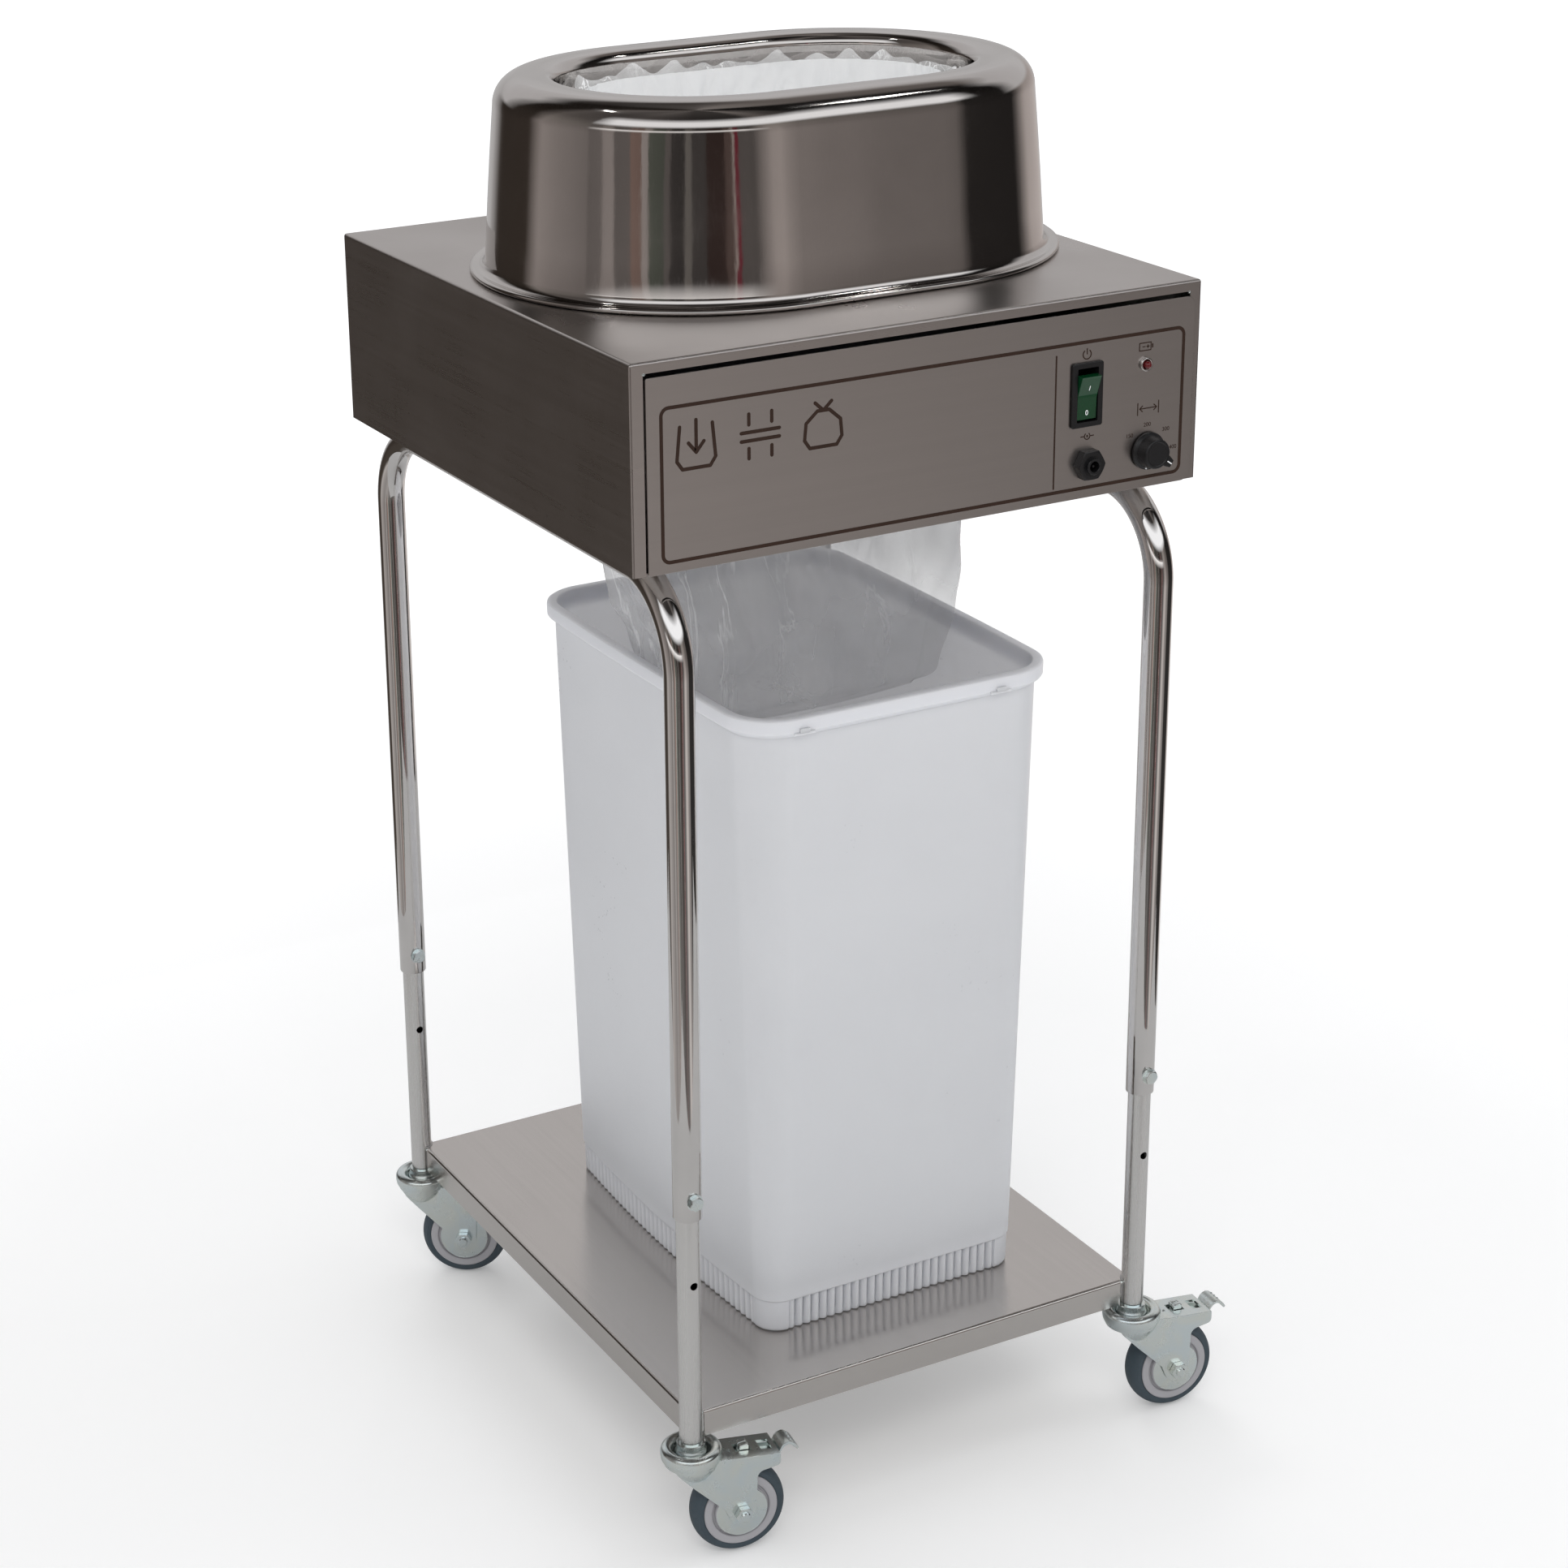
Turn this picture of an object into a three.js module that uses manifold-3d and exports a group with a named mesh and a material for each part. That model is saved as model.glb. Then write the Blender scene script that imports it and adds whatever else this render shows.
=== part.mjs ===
// A mobile waste-bag sealing stand: a motor housing with an oval feed hood on
// two bent tube hoops, a shelf with a waste bin, and four swivel castors.
// Millimetres, +Z up, the front with the control panel faces -Y.
import * as THREE from 'three';
import { mergeVertices } from 'three/addons/utils/BufferGeometryUtils.js';
import Module from 'manifold-3d';

const wasm = await Module();
wasm.setup();

// ---------------------------------------------------------------------------
// Driving dimensions
// ---------------------------------------------------------------------------
const GAP = 0.3; // clearance between pieces that touch
const RUNNING_GAP = 0.25; // radial clearance of a shaft in its bore

// Stand: four legs, each a wide tube sliding over a narrow one
const LEG_X = 203;
const LEG_Y = 247;
const UPPER_TUBE_R = 11;
const UPPER_TUBE_BORE_R = 9.5;
const LOWER_TUBE_R = 8.9;
const LOWER_TUBE_BORE_R = 7.4;
const LOWER_TUBE_BOTTOM = 102.4;
const LOWER_TUBE_TOP = 520;
const UPPER_TUBE_END = 292;
const HOOP_BEND_R = 65;
const LEG_BOLT_Z = 309;
const HEIGHT_HOLE_PITCH = 71.5;
const HEIGHT_HOLE_R = 3.1;
const HEIGHT_HOLES_UP = 2;

// Housing
const HOUSING_W = 470;
const HOUSING_D = 486;
const HOUSING_BOTTOM = 789;
const HOUSING_TOP = 939;
const SHEET = 1.5;
const FRONT_FLANGE = 10;
const TOP_LIP = 8;

// Film path, shared by the hood, the collar, the rollers and the slot
const FILM_X = 10;
const FILM_TUBE_HALF_WIDTH = 162;
const OVAL_HALF_SPINE = 60;

// Shelf
const SHELF_TOP = 123;
const SHELF_LIP = 22;

// Bin
const BIN_X = 18;
const BIN_Y = -16;
const BIN_HEIGHT = 519;
const BIN_WALL = 2.4;

// Castors
const WHEEL_R = 37.5;
const WHEEL_W = 22;
const CASTOR_TRAIL = 36;
const CASTOR_HEAD_BOTTOM = 88;
const FORK_INNER_HALF = 13;
const FORK_OUTER_HALF = 15;
const CASTORS = [
  { name: 'front_left', x: -LEG_X, y: -LEG_Y, heading: -9, brake: true },
  { name: 'front_right', x: LEG_X, y: -LEG_Y, heading: -5, brake: true },
  { name: 'rear_left', x: -LEG_X, y: LEG_Y, heading: -31, brake: false },
  { name: 'rear_right', x: LEG_X, y: LEG_Y, heading: -20, brake: false },
];

// ---------------------------------------------------------------------------
// Materials
// ---------------------------------------------------------------------------
const material = (color, roughness, metalness) => (
  new THREE.MeshStandardMaterial({ color, roughness, metalness })
);
const brushedSteel = () => material(0x8a827c, 0.42, 0.9);
const polishedSteel = () => material(0x9a948f, 0.12, 1);
const chrome = () => material(0xb8b6b4, 0.08, 1);
const satinTube = () => material(0xa9a7a4, 0.3, 0.95);
const zinc = () => material(0xaeb5b6, 0.35, 0.9);
const binPlastic = () => material(0xcdd1d6, 0.45, 0);
const rubber = () => material(0x39474f, 0.7, 0);
const hubPlastic = () => material(0xaca7ac, 0.5, 0);
const blackPlastic = () => material(0x17181a, 0.45, 0);
const film = () => material(0xeef1f2, 0.25, 0);

// ---------------------------------------------------------------------------
// Solids: closed meshes, cut and joined
// ---------------------------------------------------------------------------
function closedMesh(geometry) {
  const bare = geometry.clone();
  bare.deleteAttribute('normal');
  bare.deleteAttribute('uv');
  const merged = mergeVertices(bare, 1e-4);
  const position = merged.attributes.position;
  const corners = [0, 1, 2].map(() => new THREE.Vector3());
  const faces = [];
  let volume = 0;
  for (let i = 0; i < merged.index.count; i += 3) {
    const face = [0, 1, 2].map((k) => merged.index.getX(i + k));
    if (new Set(face).size < 3) continue;
    corners.forEach((corner, k) => corner.fromBufferAttribute(position, face[k]));
    volume += corners[0].dot(corners[1].clone().cross(corners[2]));
    faces.push(face);
  }
  if (volume < 0) faces.forEach((face) => face.reverse());
  return { points: new Float32Array(position.array), faces: new Uint32Array(faces.flat()) };
}

function solid(geometry) {
  const { points, faces } = closedMesh(geometry);
  return new wasm.Manifold(new wasm.Mesh({
    numProp: 3,
    vertProperties: points,
    triVerts: faces,
  }));
}

function piece(name, shape, finish) {
  const body = shape.getMesh();
  const geometry = new THREE.BufferGeometry();
  geometry.setAttribute('position', new THREE.BufferAttribute(body.vertProperties, 3));
  geometry.setIndex(new THREE.BufferAttribute(body.triVerts, 1));
  geometry.computeVertexNormals();
  const mesh = new THREE.Mesh(geometry, finish);
  mesh.name = name;
  return mesh;
}

// A box between two corners
function block(x0, x1, y0, y1, z0, z1) {
  const box = new THREE.BoxGeometry(x1 - x0, y1 - y0, z1 - z0);
  box.translate((x0 + x1) / 2, (y0 + y1) / 2, (z0 + z1) / 2);
  return solid(box);
}

// A round bar whose axis runs along x, y or z between two stations
function bar(axis, radius, from, to, at, segments = 16) {
  const rod = new THREE.CylinderGeometry(radius, radius, to - from, segments);
  rod.translate(0, (from + to) / 2, 0);
  if (axis === 'x') rod.rotateZ(-Math.PI / 2);
  if (axis === 'z') rod.rotateX(Math.PI / 2);
  rod.translate(...at);
  return solid(rod);
}

// A [radius, height] profile turned about the Z axis
function turned(profile, segments = 16) {
  const points = profile.map(([r, z]) => new THREE.Vector2(r, z));
  points.push(points[0]);
  const lathe = new THREE.LatheGeometry(points, segments);
  lathe.rotateX(Math.PI / 2);
  return solid(lathe);
}

// A flat outline in X and Y pushed up from z0 to z1
function prism(outline, z0, z1) {
  const shape = new THREE.Shape(outline.map(([x, y]) => new THREE.Vector2(x, y)));
  const body = new THREE.ExtrudeGeometry(shape, { depth: z1 - z0, bevelEnabled: false });
  body.translate(0, 0, z0);
  return solid(body);
}

// An outline in X and Z, pushed along Y from y0 to y1
function sidePrism(outline, y0, y1) {
  const shape = new THREE.Shape(outline.map(([x, z]) => new THREE.Vector2(x, z)));
  const body = new THREE.ExtrudeGeometry(shape, { depth: y1 - y0, bevelEnabled: false });
  body.rotateX(Math.PI / 2);
  body.translate(0, y1, 0);
  return solid(body);
}

function arc(cx, cy, radius, fromDegrees, toDegrees, steps) {
  return Array.from({ length: steps + 1 }, (_, i) => {
    const angle = THREE.MathUtils.degToRad(
      fromDegrees + ((toDegrees - fromDegrees) * i) / steps,
    );
    return [cx + radius * Math.cos(angle), cy + radius * Math.sin(angle)];
  });
}

function hexagon(acrossFlats, cx = 0, cy = 0) {
  return arc(cx, cy, acrossFlats / Math.sqrt(3), 30, 330, 5);
}

// Faces of a grid of rings. Each ring is a closed loop with the same count.
function ringFaces(ringCount, count, closed) {
  const faces = [];
  const last = closed ? ringCount : ringCount - 1;
  for (let i = 0; i < last; i += 1) {
    for (let j = 0; j < count; j += 1) {
      const a = i * count + j;
      const b = i * count + ((j + 1) % count);
      const c = ((i + 1) % ringCount) * count + j;
      const d = ((i + 1) % ringCount) * count + ((j + 1) % count);
      faces.push(a, b, d, a, d, c);
    }
  }
  return faces;
}

function indexedGeometry(points, faces) {
  const geometry = new THREE.BufferGeometry();
  geometry.setAttribute('position', new THREE.Float32BufferAttribute(points.flat(), 3));
  geometry.setIndex(faces);
  return geometry;
}

// A stack of level outlines, closed by a fan over the first and the last one
function loft(levels) {
  const count = levels[0].outline.length;
  const points = levels.flatMap(({ outline, z }) => outline.map(([x, y]) => [x, y, z]));
  const faces = ringFaces(levels.length, count, false);
  [levels[0], levels[levels.length - 1]].forEach(({ outline, z }, end) => {
    const first = end * (levels.length - 1) * count;
    const mid = outline.reduce(([x, y], p) => [x + p[0] / count, y + p[1] / count], [0, 0]);
    const centre = points.push([...mid, z]) - 1;
    for (let j = 0; j < count; j += 1) {
      const next = (j + 1) % count;
      faces.push(...(end ? [first + j, first + next, centre] : [first + next, first + j, centre]));
    }
  });
  return solid(indexedGeometry(points, faces));
}

// A [radius, height] profile carried round an oval made of two half circles
// and the straight runs between them
function ovalSweep(profile, halfSpine, arcSteps = 8) {
  const rings = [
    ...arc(0, 0, 1, -90, 90, arcSteps).map((turn) => ({ turn, x: halfSpine })),
    ...arc(0, 0, 1, 90, 270, arcSteps).map((turn) => ({ turn, x: -halfSpine })),
  ];
  const points = rings.flatMap(({ turn, x }) => (
    profile.map(([r, z]) => [x + r * turn[0], r * turn[1], z])
  ));
  return solid(indexedGeometry(points, ringFaces(rings.length, profile.length, true)));
}

// A round tube along a path in the plane x = 0, open at both ends. Each station
// holds a centre [y, z] and the direction of travel in degrees from +Y.
function pathTube(stations, radius, boreRadius, segments = 14) {
  const ring = ({ centre, heading }, r) => {
    const [[ny, nz]] = arc(0, 0, 1, heading + 90, heading + 90, 1);
    return arc(0, 0, r, 0, 360, segments).slice(0, -1).map(([u, v]) => (
      [u, centre[0] + v * ny, centre[1] + v * nz]
    ));
  };
  const outer = stations.flatMap((station) => ring(station, radius));
  const inner = [...stations].reverse().flatMap((station) => ring(station, boreRadius));
  const faces = ringFaces(2 * stations.length, segments, true);
  return solid(indexedGeometry([...outer, ...inner], faces));
}

// ---------------------------------------------------------------------------
// Lower stand
// ---------------------------------------------------------------------------
function shelf() {
  const bottom = SHELF_TOP - SHELF_LIP;
  const inner = { x: LEG_X - SHEET, y: LEG_Y - SHEET, z: SHELF_TOP - SHEET };
  let pan = block(-LEG_X, LEG_X, -LEG_Y, LEG_Y, bottom, SHELF_TOP)
    .subtract(block(-inner.x, inner.x, -inner.y, inner.y, bottom - 1, inner.z));
  CASTORS.forEach(({ x, y }) => {
    const notch = bar('z', LOWER_TUBE_R + GAP, bottom - 1, SHELF_TOP + 1, [x, y, 0]);
    pan = pan.subtract(notch);
  });
  return piece('shelf', pan, brushedSteel());
}

function lowerLeg(castor) {
  let tube = bar('z', LOWER_TUBE_R, LOWER_TUBE_BOTTOM, LOWER_TUBE_TOP, [0, 0, 0])
    .subtract(bar('z', LOWER_TUBE_BORE_R, LOWER_TUBE_BOTTOM - 1, LOWER_TUBE_TOP + 1, [0, 0, 0]));
  for (let step = -1; step <= HEIGHT_HOLES_UP; step += 1) {
    const z = LEG_BOLT_Z + step * HEIGHT_HOLE_PITCH;
    tube = tube.subtract(bar('y', HEIGHT_HOLE_R, -20, 0, [0, 0, z], 12));
  }
  const leg = piece(`lower_leg_${castor.name}`, tube, satinTube());
  leg.position.set(castor.x, castor.y, 0);
  return leg;
}

// ---------------------------------------------------------------------------
// Castors, in a frame whose Z axis is the swivel axis and whose wheel trails
// along +X
// ---------------------------------------------------------------------------
const HEAD_R = 23.5;
const HUB_R = 29.5;
const GUARD_R = 21;
const AXLE_R = 4;
const DECK_TOP = 87;
const DECK_SHEET = 2;
const DECK_DROP = 3.5;
const DECK_START = 24.5;
const DECK_END = 67;

function castorHead() {
  const stem = [[0, 125], [LOWER_TUBE_BORE_R - GAP, 125]];
  const shelfUnder = SHELF_TOP - SHELF_LIP - GAP;
  const collar = [
    [LOWER_TUBE_BORE_R - GAP, LOWER_TUBE_BOTTOM - GAP],
    [LOWER_TUBE_R - GAP, LOWER_TUBE_BOTTOM - GAP],
    [LOWER_TUBE_R - GAP, shelfUnder],
    [11, shelfUnder],
    [11, 96],
    [12.5, 92.5],
  ];
  const rolledRim = arc(HEAD_R - 4.5, CASTOR_HEAD_BOTTOM + 4.5, 4.5, 150, -90, 5);
  return turned([...stem, ...collar, ...rolledRim, [0, CASTOR_HEAD_BOTTOM]]);
}

// The deck over the wheel falls a little from the head to its free end
const deckAt = (x, z) => z - (DECK_DROP * (x - DECK_START)) / (DECK_END - DECK_START);

// A hole through the deck between two stations along the castor
function deckHole(x0, x1, halfWidth) {
  const depth = 2 * DECK_SHEET;
  return block(x0, x1, -halfWidth, halfWidth, deckAt(x1, DECK_TOP) - depth, DECK_TOP + depth);
}

// The pressed fork: a domed top, two side plates and a deck over the wheel,
// which is longer where it carries a brake
function castorFork(brake) {
  const top = CASTOR_HEAD_BOTTOM - GAP;
  const reach = brake ? DECK_END : 52;
  const outline = [
    [-21, top],
    [-19, 81],
    [-8, 71],
    [22, 42],
    ...arc(CASTOR_TRAIL, WHEEL_R, 11, 200, 350, 5),
    [48, 64],
    [52, 71],
    [reach - 3, 73],
    [reach, 77],
    [reach, deckAt(reach, DECK_TOP)],
    [DECK_START, DECK_TOP],
    [DECK_START, top],
  ];
  const hollowOutline = [
    [-40, 0],
    [reach + 10, 0],
    [reach + 10, deckAt(reach + 10, DECK_TOP - DECK_SHEET)],
    [DECK_START, DECK_TOP - DECK_SHEET],
    [DECK_START, 83],
    [-40, 83],
  ];
  const dome = turned([[0, top], [22, top], [22, 83], [15, 73], [0, 73]]);
  const cheeks = sidePrism(outline, -FORK_OUTER_HALF, FORK_OUTER_HALF);
  const fork = dome.add(cheeks)
    .subtract(sidePrism(hollowOutline, -FORK_INNER_HALF, FORK_INNER_HALF))
    .subtract(bar('y', AXLE_R + GAP, -20, 20, [CASTOR_TRAIL, 0, WHEEL_R]));
  if (!brake) return fork.subtract(deckHole(34, 41, 3.5));
  return fork.subtract(deckHole(34, 47, 5.5)).subtract(deckHole(54, 63, 6.5));
}

// The brake lever: a plate under the deck with a thumb tab through its slot
// and a tip that arches up past the deck's end
function brakePedal() {
  const lever = sidePrism([
    [35, 80.5],
    [64, 77.5],
    [68.5, 79],
    [72, 84],
    [75.5, 85.5],
    [79, 83.5],
    [82.5, 79.5],
    [84, 81],
    [80, 85.8],
    [75.5, 88],
    [70.5, 86],
    [68.2, 81.5],
    [64, 79.6],
    [35, 82.5],
  ], -9, 9);
  const tab = sidePrism([
    [38, 81], [45, 80.6], [45, 90], [40, 91.5], [36, 88.5], [38, 86],
  ], -4.6, 4.6);
  return lever.add(tab);
}

function tyre() {
  const half = WHEEL_W / 2;
  const tread = arc(WHEEL_R - 8, 0, 8, 62, -62, 4).map(([r, y]) => [r, y * (half / 8)]);
  return turned([[HUB_R + GAP, half - 1.5], ...tread, [HUB_R + GAP, 1.5 - half]], 24);
}

function hub() {
  const half = WHEEL_W / 2;
  const face = [
    [AXLE_R + RUNNING_GAP, half + 1],
    [GUARD_R, half + 1],
    [GUARD_R, half - 2.5],
    [GUARD_R + 2, half - 2.5],
    [GUARD_R + 2, half - 0.4],
    [HUB_R, half - 0.8],
  ];
  const mirrored = face.map(([r, y]) => [r, -y]).reverse();
  return turned([...face, ...mirrored], 20);
}

function axleBolt() {
  const shank = bar('y', AXLE_R, -22.5, 16, [0, 0, 0]);
  const stand = FORK_OUTER_HALF + GAP;
  const nut = prism(hexagon(12.5), stand, 21.5);
  const head = prism(hexagon(12.5), -20.8, -stand);
  return shank.add(nut.add(head).rotate([90, 0, 0]));
}

function castorGroup(castor) {
  const group = new THREE.Group();
  group.position.set(castor.x, castor.y, 0);
  group.rotation.z = THREE.MathUtils.degToRad(castor.heading);
  const name = (part) => `castor_${castor.name}_${part}`;
  const wheelPieces = [
    piece(name('tyre'), tyre().rotate([90, 0, 0]), rubber()),
    piece(name('hub'), hub().rotate([90, 0, 0]), hubPlastic()),
    piece(name('axle_bolt'), axleBolt(), zinc()),
  ];
  wheelPieces.forEach((part) => part.position.set(CASTOR_TRAIL, 0, WHEEL_R));
  group.add(
    piece(name('head'), castorHead(), zinc()),
    piece(name('fork'), castorFork(castor.brake), zinc()),
    ...wheelPieces,
  );
  if (castor.brake) group.add(piece(name('brake_pedal'), brakePedal(), zinc()));
  return group;
}

// ---------------------------------------------------------------------------
// Hoops and leg bolts
// ---------------------------------------------------------------------------
const LEG_BOLT_R = 3;
const BEND_STEPS = 5;

// An upside-down U that runs from a front leg, under the housing, to a rear leg
function hoop(name, x) {
  const top = HOUSING_BOTTOM - GAP - UPPER_TUBE_R;
  const bendY = LEG_Y - HOOP_BEND_R;
  const bendZ = top - HOOP_BEND_R;
  const bend = (y, from, to) => (
    Array.from({ length: BEND_STEPS + 1 }, (_, i) => {
      const angle = from + ((to - from) * i) / BEND_STEPS;
      const [centre] = arc(y, bendZ, HOOP_BEND_R, angle, angle, 1);
      return { centre, heading: angle - 90 };
    })
  );
  let tube = pathTube([
    { centre: [-LEG_Y, UPPER_TUBE_END], heading: 90 },
    ...bend(-bendY, 180, 90),
    ...bend(bendY, 90, 0),
    { centre: [LEG_Y, UPPER_TUBE_END], heading: -90 },
  ], UPPER_TUBE_R, UPPER_TUBE_BORE_R);
  [-LEG_Y, LEG_Y].forEach((y) => {
    const hole = bar('y', LEG_BOLT_R + GAP, y - 20, y, [0, 0, LEG_BOLT_Z], 12);
    tube = tube.subtract(hole);
  });
  const mesh = piece(name, tube, chrome());
  mesh.position.x = x;
  return mesh;
}

// A clamp bolt in the front of each hoop end. Its tip stops short of the
// narrow tube.
function legBolt(castor) {
  const head = prism(hexagon(10), UPPER_TUBE_R + 0.6, UPPER_TUBE_R + 5);
  const shank = bar('z', LEG_BOLT_R, LOWER_TUBE_R + GAP, UPPER_TUBE_R + 1, [0, 0, 0], 12);
  const bolt = piece(`leg_bolt_${castor.name}`, head.add(shank).rotate([90, 0, 0]), zinc());
  bolt.position.set(castor.x, castor.y, LEG_BOLT_Z);
  return bolt;
}

// ---------------------------------------------------------------------------
// Housing: a folded box, open in front and below, with a bottom plate
// ---------------------------------------------------------------------------
const TOP_HOLE_R = 92;
const SLOT_HALF_WIDTH = 172;
const SLOT_HALF_DEPTH = 42;
const SLOT_Y = -5;

function housingShell() {
  const x = HOUSING_W / 2;
  const y = HOUSING_D / 2;
  const feedOutline = ovalOutline(OVAL_HALF_SPINE + TOP_HOLE_R, TOP_HOLE_R, 0, 0, 12);
  const feedHole = loft([
    { outline: feedOutline, z: HOUSING_TOP - 20 },
    { outline: feedOutline, z: HOUSING_TOP + 20 },
  ]);
  const shell = block(-x, x, -y, y, HOUSING_BOTTOM, HOUSING_TOP)
    .subtract(block(
      -x + SHEET, x - SHEET, -y + SHEET, y - SHEET, HOUSING_BOTTOM - 1, HOUSING_TOP - SHEET,
    ))
    .subtract(block(
      FRONT_FLANGE - x, x - FRONT_FLANGE, -y - 1, -y + SHEET + 1,
      HOUSING_BOTTOM - 1, HOUSING_TOP - TOP_LIP,
    ))
    .subtract(feedHole.translate([FILM_X, 0, 0]));
  return piece('housing_shell', shell, brushedSteel());
}

function basePlate() {
  const x = HOUSING_W / 2 - SHEET - GAP;
  const y = HOUSING_D / 2 - SHEET - GAP;
  const slot = block(
    FILM_X - SLOT_HALF_WIDTH, FILM_X + SLOT_HALF_WIDTH,
    SLOT_Y - SLOT_HALF_DEPTH, SLOT_Y + SLOT_HALF_DEPTH,
    HOUSING_BOTTOM - 5, HOUSING_BOTTOM + 5,
  );
  const plate = block(-x, x, -y, y, HOUSING_BOTTOM + GAP, HOUSING_BOTTOM + GAP + SHEET);
  return piece('base_plate', plate.subtract(slot), brushedSteel());
}

// ---------------------------------------------------------------------------
// Front panel and its controls. Their frame is the panel's: X to the right,
// Z up, and -Y towards the user, with y = 0 on the panel's face.
// ---------------------------------------------------------------------------
const PANEL_LEFT = -224;
const PANEL_RIGHT = 229;
const PANEL_TOP = 928;
const PANEL_FACE_Y = -HOUSING_D / 2 - GAP - SHEET;
const PANEL_CORNER_R = 8;
const SWITCH = { x: 134, z: 867, width: 27, height: 48 };
const LAMP = { x: 185.5, z: 882.5 };
const SOCKET = { x: 136, z: 815 };
const DIAL = { x: 189.5, z: 817 };
const DIAL_POINTER_DEGREES = -35;
const BEZEL_PROUD = 2.4;
const ROCKER_WIDTH = 17;
const ROCKER_TILT = 11;
const ROCKER_PIVOT_Y = 6.5;

function roundedRectangle(x0, x1, z0, z1, radius) {
  return [
    ...arc(x1 - radius, z1 - radius, radius, 0, 90, 5),
    ...arc(x0 + radius, z1 - radius, radius, 90, 180, 5),
    ...arc(x0 + radius, z0 + radius, radius, 180, 270, 5),
    ...arc(x1 - radius, z0 + radius, radius, 270, 360, 5),
  ];
}

// A round bar along Y in front of or behind the panel
const panelBar = (radius, y0, y1, at, segments) => (
  bar('y', radius, y0, y1, [at.x, 0, at.z], segments)
);

function frontPanel() {
  const outline = roundedRectangle(
    PANEL_LEFT, PANEL_RIGHT, HOUSING_BOTTOM, PANEL_TOP, PANEL_CORNER_R,
  );
  const halfWidth = SWITCH.width / 2 - 2.7;
  const halfHeight = SWITCH.height / 2 - 2.2;
  const panel = sidePrism(outline, 0, SHEET)
    .subtract(block(
      SWITCH.x - halfWidth, SWITCH.x + halfWidth, -2, 4,
      SWITCH.z - halfHeight, SWITCH.z + halfHeight,
    ))
    .subtract(panelBar(4.2, -2, 4, LAMP, 20))
    .subtract(panelBar(8.3, -2, 4, SOCKET, 20))
    .subtract(panelBar(4.3, -2, 4, DIAL, 20));
  return piece('front_panel', panel, brushedSteel());
}

function switchBezel() {
  const { x, z, width, height } = SWITCH;
  const box = (halfWidth, halfHeight, y0, y1) => (
    block(x - halfWidth, x + halfWidth, y0, y1, z - halfHeight, z + halfHeight)
  );
  const frame = box(width / 2, height / 2, -BEZEL_PROUD, -GAP);
  const tub = box(width / 2 - 3, height / 2 - 2.5, -GAP - 0.1, 22);
  const well = box(ROCKER_WIDTH / 2 + 0.5, 20, -10, 17);
  return piece('switch_bezel', frame.add(tub).subtract(well), blackPlastic());
}

// A rocker with two faces that meet in a shallow valley, tilted so that its
// top half stands proud and its bottom half is pressed in
function switchRocker() {
  const profile = [
    [0, 8.5], [17, 11], [16.5, 5], [5, -3], [-5, -3], [-16.5, 5], [-17, 11],
  ];
  const rocker = prism(profile.map(([up, out]) => [-out, up]), -ROCKER_WIDTH / 2, ROCKER_WIDTH / 2)
    .rotate([0, 0, ROCKER_TILT])
    .rotate([90, 0, 90]);
  const mesh = piece('switch_rocker', rocker, material(0x0f6b35, 0.3, 0));
  mesh.position.set(SWITCH.x, ROCKER_PIVOT_Y, SWITCH.z);
  return mesh;
}

function lampPieces() {
  const bezel = panelBar(5.2, -2.6, -GAP, LAMP, 24)
    .add(panelBar(3.9, -1, 16, LAMP, 24))
    .subtract(panelBar(3.1, -5, 12, LAMP, 24));
  const lens = turned([
    [0, 11], [2.8, 11], [2.8, -3.2], ...arc(0, -3.2, 2.8, 0, -80, 5), [0, -6],
  ], 20).rotate([-90, 0, 0]);
  const lensMesh = piece('lamp_lens', lens, material(0x7c0f12, 0.2, 0));
  lensMesh.position.set(LAMP.x, 0, LAMP.z);
  return [piece('lamp_bezel', bezel, chrome()), lensMesh];
}

// A panel jack: hexagonal nut in front, threaded barrel through the panel
function chargeSocket() {
  const jack = prism(hexagon(21), GAP, 8)
    .add(bar('z', 6.2, 7, 11, [0, 0, 0]))
    .add(bar('z', 8, -18, 1, [0, 0, 0]))
    .subtract(bar('z', 4, 1, 20, [0, 0, 0]))
    .add(bar('z', 1.1, 0, 9, [0, 0, 0], 10));
  const mesh = piece('charge_socket', jack.rotate([90, 0, 0]), blackPlastic());
  mesh.position.set(SOCKET.x, 0, SOCKET.z);
  return mesh;
}

// A pointer knob on its spindle, seen from the front with the pointer along
// DIAL_POINTER_DEGREES
function lengthDial() {
  const wing = [
    [-6, -6.5], [8, -5.2], [16.5, -3], [16.5, 3], [8, 5.2], [-6, 6.5],
  ];
  const knob = turned([
    [0, 1], [14, 1], [14, 3.5], [12, 5], [11.2, 13], [10.2, 14], [0, 14],
  ], 20)
    .add(prism(wing, 2, 13.4).rotate([0, 0, DIAL_POINTER_DEGREES]))
    .add(bar('z', 3, -20, 2, [0, 0, 0], 16));
  const mesh = piece('length_dial', knob.rotate([90, 0, 0]), blackPlastic());
  mesh.position.set(DIAL.x, 0, DIAL.z);
  return mesh;
}

function panelGroup() {
  const group = new THREE.Group();
  group.position.y = PANEL_FACE_Y;
  group.add(
    frontPanel(),
    switchBezel(),
    switchRocker(),
    ...lampPieces(),
    chargeSocket(),
    lengthDial(),
  );
  return group;
}

// ---------------------------------------------------------------------------
// Sealing and feed unit inside the housing, built round the film's plane y = 0
// ---------------------------------------------------------------------------
const BRACKET_X = 172;
const ROLLER_R = 14;
const ROLLER_Y = 18;
const ROLLER_Z = 872;
const SPINDLE_R = 4;
const BAR_BOTTOM = 824;
const BAR_TOP = 842;
const JAW_OPEN = 14;
const PUSH_ROD_X = 30;
const PUSH_ROD_R = 3;

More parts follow.
